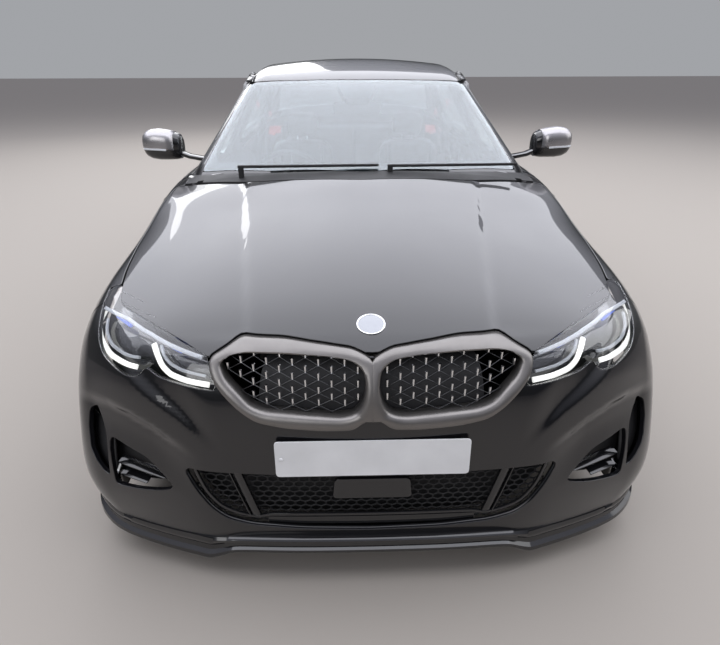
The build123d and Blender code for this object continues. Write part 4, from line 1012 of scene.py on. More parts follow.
tail_lamp_line = outline_mm([(498, 898), (478, 775), (820, 790), (1000, 800), (1000, 905)], 16)
lid_lamp_line = outline_mm([(486, 884), (468, 772), (330, 762), (330, 868)], 16)
kidney_outer_line = outline_mm(both([
    (0, 728), (21, 739), (52, 749), (121, 755), (227, 762), (346, 759), (430, 720), (419, 678),
    (390, 643), (347, 603), (305, 575), (230, 561), (125, 555), (49, 558), (23, 581), (0, 590),
]), 26)
headlamp_line = outline_mm([
    (420, 681), (433, 726), (505, 741), (581, 757), (675, 774), (739, 780), (833, 772), (810, 737),
    (787, 687), (763, 665), (728, 653), (691, 644), (636, 645), (612, 676), (579, 659), (524, 653),
    (404, 648),
], 14)
intake_line = outline_mm(both([
    (0, 398), (300, 404), (511, 408), (522, 394), (492, 333), (455, 275), (415, 238), (346, 213),
    (200, 196), (0, 190),
]), 26)
side_intake_line = outline_mm([
    (759, 447), (699, 428), (639, 410), (595, 372), (560, 330), (601, 312), (659, 298), (717, 292),
    (757, 292), (759, 374),
], 22)
curtain_line = outline_mm([
    (812, 512), (798, 519), (783, 486), (772, 447), (769, 393), (773, 318), (791, 329), (808, 350),
    (828, 387), (834, 450), (828, 500),
], 8)
fender_line = outline_mm([
    (-1046, 150), (-1058, 600), (-1018, 900), (-991, 941), (-991, 1020), (-2060, 1020), (-2060, 800),
    (-1940, 768), (-1930, 650), (-1700, 590), (-1549, 331), (-1549, 150),
], 10)
bumper_line = outline_mm([
    (-2600, 100), (-2600, 800), (-2060, 797), (-1943, 765), (-1933, 645), (-1703, 585), (-1552, 331),
    (-1552, 100),
], 10)
rear_bumper_line = outline_mm([
    (1500, 100), (1560, 380), (1700, 600), (1850, 690), (2100, 715), (2600, 715), (2600, 100),
], 30)
diffuser_line = outline_mm(both([(0, 288), (400, 288), (470, 240), (500, 150), (0, 150)]), 20)
arch_radius = 366 * mm


def ahead_of(place):
    """Says which points lie nearer the nose than a station."""
    return lambda points: points[:, 1] < place


def behind(place):
    """Says which points lie nearer the tail than a station."""
    return lambda points: points[:, 1] > place


def higher_than(place):
    """Says which points lie over a level."""
    return lambda points: points[:, 2] > place


# %% Bonnet
bonnet = panel(
    "bonnet_skin", lower_body, from_below((-0.86, 0.86), (-2.30, -1.07), 11 * mm),
    [within("plan", bonnet_line, -edge_roll),
     outside("front", kidney_outer_line, gap, ahead_of(-2.0))],
    paint, "bonnet", thickness=12 * mm,
)
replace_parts(bonnet, "bonnet")

# %% Front bumper
headlamp_other = across(headlamp_line)
side_intake_other = across(side_intake_line)
bumper = panel(
    "front_bumper_skin", lower_body, from_post((0.101, 0.790), (-86, 86), 8 * mm, -1.45),
    [within("side", bumper_line, -edge_roll), clear_of_wheel("front", arch_radius),
     outside("plan", bonnet_line, gap + edge_roll, higher_than(0.69)),
     outside("front", headlamp_line, edge_roll), outside("front", headlamp_other, edge_roll),
     outside("front", kidney_outer_line, edge_roll), outside("front", intake_line, edge_roll),
     outside("front", side_intake_line, edge_roll), outside("front", side_intake_other, edge_roll),
     outside("front", curtain_line, edge_roll, ahead_of(-1.9)),
     outside("front", across(curtain_line), edge_roll, ahead_of(-1.9))],
    paint, "body_shell", thickness=14 * mm,
)
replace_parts(bumper, "front_bumper")

# %% Front fenders
fender = panel(
    "front_fender_left_skin", lower_body, from_spine((-2.08, -0.98), (-38, 88), 10 * mm),
    [within("side", fender_line, -edge_roll), clear_of_wheel("front", arch_radius),
     outside("plan", bonnet_line, gap + edge_roll, higher_than(0.60)),
     outside("plan", cowl_line, edge_roll, higher_than(0.60)),
     outside("front", headlamp_line, edge_roll, ahead_of(-1.85)),
     lambda p: np.where(p[:, 1] > -1.19, np.maximum(p[:, 0] - 0.776, 0.8 - p[:, 2]), 1.0), above(0, 0.5)],
    paint, "body_shell", thickness=12 * mm,
)
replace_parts(fender, "front_fender_left")
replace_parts(mirrored_copy(fender, "front_fender_right_skin", "body_shell"), "front_fender_right")
print("nose panels", [len(o.data.polygons) for o in (bonnet, bumper, fender)])

# %% [markdown]
# ## Doors and sides
# A door is a deep box, so two pieces make one: the smooth skin made here, and a tucked copy of the solid
# door, drawn in a little behind the skin, which carries its edges, inner face, hinges and handle recess.

# %% Inner structure tucked behind the skins
def tucked_copy(node, name, field, material, body, depth=4 * mm, skin_depth=13 * mm, others=()):
    """Copy of a solid with its outer face taken off and the rest drawn in behind the skin."""
    shape = bmesh.new()
    shape.from_mesh(nodes[node].data)
    bmesh.ops.remove_doubles(shape, verts=shape.verts, dist=0.05 * mm)
    shape.faces.ensure_lookup_table()
    middles = np.array([f.calc_center_median() for f in shape.faces])
    facings = np.array([f.normal for f in shape.faces])
    fields = [field, *others]
    dropped = np.zeros(len(middles), bool)
    for one in fields:
        normals = field_normals(one, middles)
        dropped |= (np.abs(one(middles)) < skin_depth) & ((normals * facings).sum(axis=1) > 0.55)
    bmesh.ops.delete(shape, geom=[f for f, drop in zip(shape.faces, dropped) if drop], context="FACES")
    places = np.array([v.co for v in shape.verts])
    for one in fields:
        value = one(places)
        push = np.clip(value + depth, 0, 3 * depth)
        push = np.where(np.abs(value) < 3 * depth, push, 0)
        places -= field_normals(one, places) * push[:, None]
    for vertex, place in zip(shape.verts, places):
        vertex.co = place
    mesh = bpy.data.meshes.new(name)
    shape.to_mesh(mesh)
    shape.free()
    mesh.materials.append(material)
    mesh.shade_flat()
    piece = bpy.data.objects.new(name, mesh)
    bpy.context.scene.collection.objects.link(piece)
    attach(piece, body)
    return piece


# %% Doors
door_tables = {
    "front": (front_door_line, front_glass_line, (-1.07, 0.08)),
    "rear": (rear_door_line, rear_glass_line, (-0.03, 1.17)),
}
belt_rise = 4 * mm


def over_belt(points):
    """Keeps the lower body only as far in as the glass stands."""
    return np.where(points[:, 2] > 0.86, glass_house(points) + belt_rise, 1.0)


for axle, (door_line, glass_line, reach) in door_tables.items():
    body = f"door_{axle}_left"
    skin = panel(
        f"door_{axle}_left_skin", lower_body, from_spine(reach, (-28, 75), 10 * mm),
        [within("side", door_line, -edge_roll), over_belt],
        paint, body, thickness=12 * mm,
    )
    frame_skin = panel(
        f"door_{axle}_left_frame", glass_house, from_spine(reach, (-5, 88), 9 * mm, (0.25, 0.88)),
        [within("side", door_line, -edge_roll), outside("side", glass_line, -2 * mm),
         lambda p: lower_body(p) + belt_rise, above(2, 0.90)],
        gloss_black, body, thickness=16 * mm,
    )
    pane = panel(
        f"glass_{axle}_left_pane", glass_house, from_spine(reach, (-5, 88), 12 * mm, (0.25, 0.88)),
        [within("side", glass_line)],
        window_glass, body, thickness=4.5 * mm, roll=0.6 * mm, inset=4 * mm,
    )
    core = tucked_copy(body, f"door_{axle}_left_core", lower_body, paint, body, others=(glass_house,))
    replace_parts(skin, body)
    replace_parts(pane, f"glass_{axle}_left")
    other = f"door_{axle}_right"
    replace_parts(mirrored_copy(skin, f"door_{axle}_right_skin", other), other)
    mirrored_copy(frame_skin, f"door_{axle}_right_frame", other)
    mirrored_copy(core, f"door_{axle}_right_core", other)
    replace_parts(mirrored_copy(pane, f"glass_{axle}_right_pane", other), f"glass_{axle}_right")
print("doors done")

# %% Body sides: sills, quarters, pillars and rails
side_cuts = [
    outside("side", front_door_line, gap + edge_roll), outside("side", rear_door_line, gap + edge_roll),
]
quarter = panel(
    "quarter_left_skin", lower_body, from_spine((-1.04, 2.25), (-40, 88), 11 * mm),
    side_cuts + [
        clear_of_wheel("rear", arch_radius), outside("side", fender_line, gap / 2 + edge_roll),
        outside("side", rear_bumper_line, edge_roll),
        outside("front", tail_lamp_line, edge_roll, behind(1.9)),
        above(1, -1.04), above(2, 0.152), above(0, 0.55),
        outside("plan", boot_line, gap + edge_roll, lambda p: (p[:, 2] > 0.8) & (p[:, 1] > 1.2)),
        over_belt,
    ],
    paint, "body_shell", thickness=12 * mm,
)
rail = panel(
    "rail_left_skin", glass_house, from_spine((-1.10, 1.95), (-8, 89), 10 * mm, (0.25, 0.88)),
    side_cuts + [
        outside("plan", glazing_line, edge_roll), lambda p: lower_body(p) + belt_rise, above(2, 0.93),
        above(0, 0.40),
    ],
    paint, "body_shell", thickness=12 * mm,
)
frame_core = tucked_copy(
    "side_frame_left", "side_frame_left_core", lower_body, paint, "body_shell", others=(glass_house,)
)
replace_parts(quarter, "side_frame_left")
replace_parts(mirrored_copy(quarter, "quarter_right_skin", "body_shell"), "side_frame_right")
mirrored_copy(rail, "rail_right_skin", "body_shell")
mirrored_copy(frame_core, "side_frame_right_core", "body_shell")

# %% Roof and fixed glass
roof = panel(
    "roof_skin", glass_house, from_below((-0.58, 0.58), (-0.42, 0.95), 14 * mm, 0.8),
    [within("plan", roof_line, -edge_roll)], paint, "body_shell", thickness=25 * mm,
)
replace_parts(roof, "roof_panel")
screen = panel(
    "windscreen_pane", glass_house, from_below((-0.75, 0.75), (-1.11, -0.32), 13 * mm, 0.6),
    [within("plan", windscreen_line, -2 * mm), above(2, 0.945)], screen_glass, "body_shell",
    thickness=5 * mm, roll=0.8 * mm,
)
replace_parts(screen, "windscreen")
back_pane = panel(
    "rear_window_pane", glass_house, from_below((-0.68, 0.68), (0.86, 1.57), 13 * mm, 0.6),
    [within("plan", rear_window_line, -2 * mm), lambda p: lower_body(p) - 1 * mm], privacy_glass,
    "body_shell", thickness=5 * mm, roll=0.8 * mm,
)
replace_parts(back_pane, "rear_window")

# %% Boot lid, rear bumper and tail lamps
def lid_region(points):
    """Limit that keeps the boot lid: its top seen from above and its face seen from behind."""
    plan = np.minimum(inside(points[:, :2], boot_line), points[:, 2] - 0.905)
    face = np.minimum(inside(points[:, [0, 2]], boot_face_line), points[:, 1] - 2.15)
    return np.maximum(plan, face) - edge_roll


lamp_cuts = [
    outside("front", line, clearance, behind(1.9))
    for line, clearance in ((tail_lamp_line, gap), (across(tail_lamp_line), gap),
                            (lid_lamp_line, edge_roll), (across(lid_lamp_line), edge_roll))
]
lid = panel(
    "boot_lid_skin", lower_body, from_bar((-0.62, 0.62), (-12, 140), 10 * mm),
    [lid_region] + lamp_cuts + [above(1, 1.60)], paint, "boot_lid", thickness=12 * mm,
)
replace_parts(lid, "boot_lid")
tip_x, tip_z, tip_radius = 560 * mm, 226 * mm, 46 * mm


def clear_of_tips(points):
    """Limit that cuts round holes for the two exhaust tips."""
    gaps = [np.hypot(points[:, 0] - x, points[:, 2] - tip_z) - tip_radius - 8 * mm for x in (-tip_x, tip_x)]
    return np.minimum(*gaps)


rear_bumper = panel(
    "rear_bumper_skin", lower_body, from_post((0.103, 0.73), (-86, 86), 9 * mm, 1.45, 1),
    [within("side", rear_bumper_line, -edge_roll), clear_of_wheel("rear", arch_radius),
     outside("front", diffuser_line, edge_roll), clear_of_tips, above(1, 1.45)],
    paint, "body_shell", thickness=14 * mm,
)
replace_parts(rear_bumper, "rear_bumper")
deck_line = outline_mm(both([(0, 1300), (609, 1300), (609, 1598), (560, 1596), (300, 1608), (0, 1614)]))
panel(
    "rear_deck_skin", lower_body, from_below((-0.64, 0.64), (1.30, 1.62), 12 * mm, 0.6),
    [within("plan", deck_line), lambda p: glass_house(p) - 1 * mm], paint, "body_shell", thickness=10 * mm,
)
lens_table = [
    # Name, outline, lowest and highest turn of its rays, top of its rays, body, node and further limits
    ("tail_lens", tail_lamp_line, (20, 80), 0.92, "body_shell", "tail_lamps", [above(1, 1.95)]),
    ("lid_lens", lid_lamp_line, (4, 40), 0.90, "boot_lid", "lid_lamps", []),
]
for side in ("left", "right"):
    for name, line, (low, high), top, body, node, limits in lens_table:
        if side == "right":
            line, low, high = across(line), -high, -low
        lens = panel(
            f"{name}_{side}", lower_body, from_post((0.75, top), (low, high), 8 * mm, 1.45, 1),
            [within("front", line, -1 * mm), *limits], red_lens, body, thickness=8 * mm,
        )
        if side == "left":
            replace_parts(lens, node)
print("outer panels done")

# %% [markdown]
# ## Nose
# The nose carries most of the car's look. Its pieces all lie on the nose's own surface at a few set depths,
# so each is drawn flat, as seen from ahead, and then carried back onto that surface.

# %% Points on the nose
def on_nose(flat, depth):
    """Points on the nose's face for places seen from ahead, set back by a depth."""
    flat = np.asarray(flat, float).reshape(-1, 2)
    depth = np.broadcast_to(depth, len(flat))
    origins = np.stack([flat[:, 0], np.full(len(flat), -1.45), flat[:, 1]], 1)
    points = cast(lower_body, origins, np.tile([0.0, -1.0, 0.0], (len(flat), 1)), 1.2)
    points[:, 1] += depth
    return points


def in_nose(flat, inset):
    """Points seen from ahead that lie an inset below the skin."""
    flat = np.asarray(flat, float).reshape(-1, 2)
    origins = np.stack([flat[:, 0], np.full(len(flat), -1.45), flat[:, 1]], 1)
    return cast(lower_body, origins, np.tile([0.0, -1.0, 0.0], (len(flat), 1)), 1.2, inset)


def band_faces(rows, columns, closed=True):
    """Faces between rings of points; rows run across and columns along the ring."""
    faces = []
    for row in range(rows - 1):
        for column in range(columns if closed else columns - 1):
            after = (column + 1) % columns
            faces.append([row * columns + column, row * columns + after,
                          (row + 1) * columns + after, (row + 1) * columns + column])
    return faces


def closed_faces(rows, columns):
    """Faces between closed rings, with the first and last ring filled."""
    last = (rows - 1) * columns
    return band_faces(rows, columns) + [list(range(columns)), list(range(last, last + columns))]


def outward_faces(piece):
    """Turns a finished mesh's faces outwards."""
    shape = bmesh.new()
    shape.from_mesh(piece.data)
    bmesh.ops.remove_doubles(shape, verts=shape.verts, dist=0.02 * mm)
    bmesh.ops.recalc_face_normals(shape, faces=shape.faces)
    shape.to_mesh(piece.data)
    shape.free()
    piece.data.shade_smooth()
    piece.data.set_sharp_from_angle(angle=math.radians(38))
    return piece


# %% Twin grille surround
kidney_middle = np.array((208, 660)) * mm
kidney_inner_line = outline_mm([
    (24, 707), (53, 727), (121, 735), (226, 737), (333, 735), (372, 728), (399, 711), (383, 677),
    (350, 647), (319, 615), (282, 601), (175, 594), (81, 589), (44, 598), (23, 631), (17, 671),
], 26)
turns = np.linspace(0, 2 * math.pi, 180, endpoint=False)


def reach_of(outline, turn):
    """Distance from the kidney's middle to an outline along one direction."""
    way = np.array((math.cos(turn), math.sin(turn)))
    side = np.array((-way[1], way[0]))
    best = 0
    for start, end in zip(outline - kidney_middle, np.roll(outline - kidney_middle, -1, axis=0)):
        a, b = start @ side, end @ side
        if (a > 0) != (b > 0):
            best = max(best, (start + (end - start) * a / (a - b)) @ way)
    return best


# Columns: share of the way from the outer to the inner outline, and how far proud of the nose
surround_profile = [
    (0, -16), (0, 4), (0.05, 8), (0.16, 10), (0.45, 10.5), (0.78, 8), (0.94, 3), (1, -4), (1.03, -34),
]


def surround_ring(share, proud):
    """One ring of the surround between its outer and inner outline."""
    flats, depths = [], []
    for turn in turns:
        way = np.array((math.cos(turn), math.sin(turn)))
        far = reach_of(kidney_outer_line, turn)
        joined = 0.0
        if way[0] < 0 and kidney_middle[0] + far * way[0] < 0:
            far = -kidney_middle[0] / way[0]
            joined = 1.0
        near = reach_of(kidney_inner_line, turn)
        flats.append(kidney_middle + way * (far + (near - far) * share))
        depths.append((10 * joined + proud * (1 - joined)) * mm if share < 0.3 else proud * mm)
    return on_nose(flats, -np.array(depths))


surround_points = np.concatenate([surround_ring(share, proud) for share, proud in surround_profile])
surround_faces = band_faces(len(surround_profile), len(turns))
for side, sign in (("left", 1), ("right", -1)):
    surround = make_object(
        f"grille_surround_{side}", surround_points * (sign, 1, 1), [face[::sign] for face in surround_faces],
        satin_grey,
    )
    outward_faces(surround)
    wall = surround.modifiers.new("thickness", "SOLIDIFY")
    wall.thickness, wall.offset = 2 * mm, -1
    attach(surround, "body_shell")
    if side == "left":
        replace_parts(surround, "grille_surround")

# %% [markdown]
# ### Nails and mesh with Geometry Nodes
# Both grilles are wires with something at each knot. One tree does this: its edges become thin bars and its
# points become tapered nails. The honeycomb uses the same tree with the nails made too small to show.

# %% Tree that dresses a wire net
def build_net_tree():
    """Geometry Nodes tree: bars along the edges of a net and a tapered nail at each of its marked points."""
    tree = bpy.data.node_groups.new("net_of_bars", "GeometryNodeTree")
    face = tree.interface
    face.new_socket("Net", in_out="INPUT", socket_type="NodeSocketGeometry")
    for title, value in (("Bar Radius", 0.001), ("Nail Radius", 0.004), ("Nail Length", 0.02)):
        face.new_socket(title, in_out="INPUT", socket_type="NodeSocketFloat").default_value = value
    face.new_socket("Bar Material", in_out="INPUT", socket_type="NodeSocketMaterial")
    face.new_socket("Nail Material", in_out="INPUT", socket_type="NodeSocketMaterial")
    face.new_socket("Net", in_out="OUTPUT", socket_type="NodeSocketGeometry")
    new = tree.nodes.new
    entry, exit = new("NodeGroupInput"), new("NodeGroupOutput")
    to_curve, sweep_bars = new("GeometryNodeMeshToCurve"), new("GeometryNodeCurveToMesh")
    ring = new("GeometryNodeCurvePrimitiveCircle")
    ring.inputs["Resolution"].default_value = 6
    sweep_bars.inputs["Fill Caps"].default_value = True
    nail = new("GeometryNodeMeshCone")
    nail.inputs["Vertices"].default_value = 6
    place_nails, taper = new("GeometryNodeInstanceOnPoints"), new("ShaderNodeMath")
    taper.operation = "MULTIPLY"
    taper.inputs[1].default_value = 0.62
    bars_finish, nails_finish = new("GeometryNodeSetMaterial"), new("GeometryNodeSetMaterial")
    mark = new("GeometryNodeInputNamedAttribute")
    mark.data_type = "FLOAT"
    mark.inputs["Name"].default_value = "nail"
    join, realize = new("GeometryNodeJoinGeometry"), new("GeometryNodeRealizeInstances")
    join_sockets(tree, [
        (entry, "Net", to_curve, "Mesh"), (to_curve, "Curve", sweep_bars, "Curve"),
        (entry, "Bar Radius", ring, "Radius"), (ring, "Curve", sweep_bars, "Profile Curve"),
        (entry, "Nail Radius", nail, "Radius Top"), (entry, "Nail Radius", taper, 0),
        (taper, "Value", nail, "Radius Bottom"), (entry, "Nail Length", nail, "Depth"),
        (entry, "Net", place_nails, "Points"), (nail, "Mesh", place_nails, "Instance"),
        (mark, "Attribute", place_nails, "Scale"), (sweep_bars, "Mesh", bars_finish, "Geometry"),
        (entry, "Bar Material", bars_finish, "Material"), (place_nails, "Instances", realize, "Geometry"),
        (realize, "Geometry", nails_finish, "Geometry"), (entry, "Nail Material", nails_finish, "Material"),
        (bars_finish, "Geometry", join, "Geometry"), (nails_finish, "Geometry", join, "Geometry"),
        (join, "Geometry", exit, "Net"),
    ])
    return tree


net_tree = build_net_tree()


def run_tree(name, mesh, tree, sizes, body):
    """Runs a Geometry Nodes tree over a mesh, with its inputs set first, and keeps a plain mesh."""
    holder = bpy.data.objects.new(name + "_holder", mesh)
    bpy.context.scene.collection.objects.link(holder)
    modifier = holder.modifiers.new("tree", "NODES")
    modifier.node_group = tree
    for item in tree.interface.items_tree:
        if item.in_out == "INPUT" and item.name in sizes:
            modifier[item.identifier] = sizes[item.name]
    made = bpy.data.meshes.new_from_object(holder.evaluated_get(bpy.context.evaluated_depsgraph_get()))
    bpy.data.objects.remove(holder)
    made.name = name
    piece = bpy.data.objects.new(name, made)
    bpy.context.scene.collection.objects.link(piece)
    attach(piece, body)
    return piece


def dressed_net(name, points, edges, sizes, nails=None):
    """Bars along a wire net on the body, with nails at its marked points."""
    wire = bpy.data.meshes.new(name + "_wire")
    wire.from_pydata(np.asarray(points).tolist(), edges, [])
    marks = wire.attributes.new("nail", "FLOAT", "POINT")
    marks.data.foreach_set("value", np.zeros(len(points)) if nails is None else np.asarray(nails, float))
    return run_tree(name, wire, net_tree, sizes, "body_shell")


# %% Upper grilles: nails, struts and the dark shutter behind
nail_pitch, nail_rise, nail_rows, nail_columns = 34 * mm, 32 * mm, 5, 11
for side, sign in (("left", 1), ("right", -1)):
    flats, marks, edges, index = [], [], [], {}
    for column in range(nail_columns):
        for row in range(-1, nail_rows + 1):
            x = kidney_middle[0] + (column - (nail_columns - 1) / 2) * nail_pitch
            z = 0.660 + (row - (nail_rows - 1) / 2 + (column % 2) / 2) * nail_rise
            room = inside(np.array([[x, z]]), kidney_inner_line)[0]
            if room > -6 * mm:
                index[column, row] = len(flats)
                flats.append((x * sign, z))
                marks.append(1.0 if room > 7 * mm else 0.0)
    for (column, row), here in index.items():
        for next_row in (row - 1 + column % 2, row + column % 2):
            there = index.get((column + 1, next_row))
            if there is not None:
                edges.append((here, there))
    net = dressed_net(
        f"grille_net_{side}", on_nose(flats, 21 * mm), edges,
        {"Bar Radius": 1.5 * mm, "Nail Radius": 4.4 * mm, "Nail Length": 21 * mm,
         "Bar Material": rim_paint, "Nail Material": bright_metal}, marks,
    )
    outline = kidney_inner_line if sign > 0 else across(kidney_inner_line)
    panel(
        f"grille_shutter_{side}", lower_body, from_post((0.575, 0.745), (-20, 20), 12 * mm, -1.45),
        [within("front", outline, 4 * mm)], matt_black, "body_shell", thickness=4 * mm, inset=44 * mm,
    )
    if sign > 0:
        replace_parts(net, "grille_mesh")

# %% Bars swept along lines on the nose
def swept_bar(name, centres, facings, width, height, material, body):
    """Rounded flat bar along a line of points; the facing gives the way its top looks."""
    centres = np.asarray(centres)
    runs = np.gradient(centres, axis=0)
    runs /= np.linalg.norm(runs, axis=1, keepdims=True)
    sides = np.cross(runs, facings)
    sides /= np.linalg.norm(sides, axis=1, keepdims=True)
    tops = np.cross(sides, runs)
    turns = np.linspace(0, 2 * math.pi, 12, endpoint=False)
    rings = []
    for turn in turns:
        c, s = math.cos(turn), math.sin(turn)
        u = math.copysign(abs(c) ** 0.5, c) * width / 2
        v = math.copysign(abs(s) ** 0.5, s) * height / 2
        rings.append(centres + sides * u + tops * v)
    points = np.stack(rings, 1).reshape(-1, 3)
    piece = make_object(name, points, closed_faces(len(centres), len(turns)), material)
    outward_faces(piece)
    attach(piece, body)
    return piece


def smooth_path(points, count=60, corner=14):
    """Rounded open line of evenly spaced points, from places in millimetres."""
    path = rounded(np.array(points, float) * mm, corner * mm, closed=False)
    lengths = np.concatenate([[0], np.cumsum(np.linalg.norm(np.diff(path, axis=0), axis=1))])
    places = np.linspace(0, lengths[-1], count)
    return np.stack([np.interp(places, lengths, path[:, axis]) for axis in range(path.shape[1])], 1)


def lamp_bar(name, points, inset, width, height, material, sign):
    """Bar that lies an inset below the nose's skin, on the left for sign 1 and on the right for -1."""
    centres = in_nose(smooth_path(points), inset)
    facings = field_normals(lower_body, centres)
    flip = (sign, 1, 1)
    return swept_bar(name, centres * flip, facings * flip, width, height, material, "body_shell")


# %% Headlamps
lamp_bars = [
    # Name, places seen from ahead, depth, width, height and material
    ("guide_outer", [(809, 725), (815, 706), (797, 687), (770, 672), (741, 662), (696, 658), (648, 656)],
     20, 15, 8, guide_white),
    ("guide_outer_inner", [(786, 719), (775, 701), (746, 685), (705, 679), (661, 676), (642, 678)],
     22, 9, 7, guide_dim),
    ("guide_inner", [(597, 717), (580, 696), (566, 676), (542, 661), (502, 655), (430, 651)],
     20, 15, 8, guide_white),
    ("guide_inner_inner", [(575, 717), (562, 699), (542, 686), (509, 677), (439, 670)], 22, 8, 7, guide_dim),
    ("brow", [(806, 738), (772, 741), (700, 742), (606, 736), (528, 725), (447, 714)], 10, 12, 7, guide_dim),
    ("blue_outer", [(758, 724), (694, 722)], 30, 15, 5, guide_blue),
    ("blue_inner", [(562, 716), (512, 709)], 30, 12, 5, guide_blue),
]
for side, sign in (("left", 1), ("right", -1)):
    line = headlamp_line if sign > 0 else across(headlamp_line)
    turns_range = (12, 66) if sign > 0 else (-66, -12)
    rays = from_post((0.62, 0.80), turns_range, 7 * mm, -1.45)
    lens = panel(f"headlamp_lens_{side}", lower_body, rays, [within("front", line, -1 * mm), above(1, -2.6)],
                 lens_clear, "body_shell", thickness=3 * mm, roll=0.8 * mm)
    bowl = panel(f"headlamp_bowl_{side}", lower_body, rays, [within("front", line, 12 * mm)],
                 gloss_black, "body_shell", thickness=4 * mm, roll=0.8 * mm, inset=46 * mm)
    if sign > 0:
        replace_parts(lens, "headlamp_lenses")
    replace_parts(bowl, f"headlamp_{side}")
    for name, places, depth, width, height, material in lamp_bars:
        lamp_bar(f"lamp_{name}_{side}", places, depth * mm, width * mm, height * mm, material, sign)
print("lamps done")

# %% Lower intake: honeycomb, frame and slanted struts
def honeycomb(outline, x_reach, z_reach, cell, place, extra=0.0):
    """Wire net of hexagons that lie inside an outline."""
    flats, edges, index = [], set(), {}

    def knot(x, z):
        key = (round(x * 1e4), round(z * 1e4))
        if key not in index:
            index[key] = len(flats)
            flats.append((x, z))
        return index[key]

    width, height = cell * math.sqrt(3), cell * 1.5
    for row in range(int(z_reach / height) + 2):
        for column in range(-int(x_reach / width) - 1, int(x_reach / width) + 2):
            x = (column + (row % 2) / 2) * width
            z = place + row * height * 0.72
            if inside(np.array([[x, z]]), outline)[0] < -extra:
                continue
            ring = [knot(x + cell * math.sin(t), z + 0.72 * cell * math.cos(t))
                    for t in np.arange(6) * math.pi / 3]
            for here, there in zip(ring, ring[1:] + ring[:1]):
                edges.add((min(here, there), max(here, there)))
    return flats, sorted(edges)


mesh_flats, mesh_edges = honeycomb(intake_line, 0.55, 0.22, 17 * mm, 0.196, 3 * mm)
lower_net = dressed_net(
    "lower_grille_net", on_nose(mesh_flats, 34 * mm), mesh_edges,
    {"Bar Radius": 2.6 * mm, "Nail Radius": 1 * mm, "Nail Length": 1 * mm,
     "Bar Material": matt_black, "Nail Material": matt_black},
)
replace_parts(lower_net, "lower_grille")
panel(
    "lower_intake_back", lower_body, from_post((0.17, 0.42), (-36, 36), 16 * mm, -1.45),
    [within("front", intake_line, 10 * mm)], matt_black, "body_shell", thickness=4 * mm, inset=80 * mm,
)


def frame_bar(name, points, depth, width, height, material, closed=False):
    """Bar along a line seen from ahead, on the nose."""
    path = smooth_path(points + [points[0]] if closed else points, 160 if closed else 60, 22)
    centres = on_nose(path, depth)
    return swept_bar(name, centres, field_normals(lower_body, centres), width, height, material, "body_shell")


frame_half = [
    (0, 398), (300, 404), (511, 408), (522, 394), (492, 333), (455, 275), (415, 238), (346, 213), (200, 196),
    (0, 190),
]
frame_bar("intake_frame", both(frame_half)[:-1], 9 * mm, 9 * mm, 10 * mm, gloss_black, closed=True)
inner_half = [(0, 246), (298, 246), (327, 234), (380, 249), (432, 277), (470, 330), (495, 402)]
inner_whole = [(-x, z) for x, z in reversed(inner_half[1:])] + inner_half
frame_bar("intake_step", inner_whole, 14 * mm, 11 * mm, 9 * mm, gloss_black)
frame_bar("intake_blade", [(-300, 216), (0, 216), (300, 216)], 20 * mm, 34 * mm, 10 * mm, gloss_black)
strut_table = [
    # Name, places seen from ahead, depth, width and height
    ("strut", [(376, 404), (352, 320), (330, 238)], 18, 22, 14),
    ("strut_edge", [(396, 404), (371, 320), (348, 240)], 15, 4, 12),
]
for side, sign in (("left", 1), ("right", -1)):
    for name, places, depth, width, height in strut_table:
        frame_bar(f"intake_{name}_{side}", [(sign * x, z) for x, z in places], depth * mm, width * mm,
                  height * mm, gloss_black)

# %% Sensor cover, plate and badge
def rounded_slab(name, outline, place, thickness, material, body, bevel=1.2 * mm):
    """Flat slab with softened edges from an outline, carried to its place by a function."""
    outline = np.asarray(outline)
    middle = outline.mean(axis=0)
    rings = []
    for inward, height in ((0, 0), (0, thickness - bevel), (bevel * 0.3, thickness - 0.3 * bevel),
                           (bevel, thickness), (bevel * 3, thickness)):
        away = middle - outline
        away /= np.linalg.norm(away, axis=1, keepdims=True)
        rings.append(place(outline + away * inward, height))
    points = np.concatenate(rings)
    count = len(outline)
    faces = band_faces(len(rings), count)
    faces.append(list(range(count))[::-1])
    faces.append(list(range(len(points) - count, len(points))))
    piece = make_object(name, points, faces, material)
    outward_faces(piece)
    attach(piece, body)
    return piece


def facing_front(y):
    """Carries a slab so that it faces straight ahead."""
    return lambda flat, height: np.stack([flat[:, 0], np.full(len(flat), y - height), flat[:, 1]], 1)


def facing_back(y):
    """Carries a slab so that it faces straight back."""
    return lambda flat, height: np.stack([flat[:, 0], np.full(len(flat), y + height), flat[:, 1]], 1)


def facing_up(z):
    """Carries a slab so that it faces up."""
    return lambda flat, height: np.stack([flat[:, 0], flat[:, 1], np.full(len(flat), z + height)], 1)


sensor_line = outline_mm([(-111, 322), (111, 322), (104, 391), (-104, 391)], 14)
rounded_slab("sensor_cover", sensor_line, facing_front(-2.338), 10 * mm, gloss_black, "body_shell", 3 * mm)
plate_width, plate_height, plate_middle = 520 * mm, 111 * mm, 470 * mm
half_x, half_z = plate_width / 2, plate_height / 2
plate_line = rounded(np.array([
    (-half_x, plate_middle - half_z), (half_x, plate_middle - half_z),
    (half_x, plate_middle + half_z), (-half_x, plate_middle + half_z),
]), 11 * mm)


def on_plinth(flat, height):
    """The plate leans back a little with the bumper."""
    lean = (flat[:, 1] - plate_middle) * 0.06
    return np.stack([flat[:, 0], -2.3535 - height + lean, flat[:, 1]], 1)


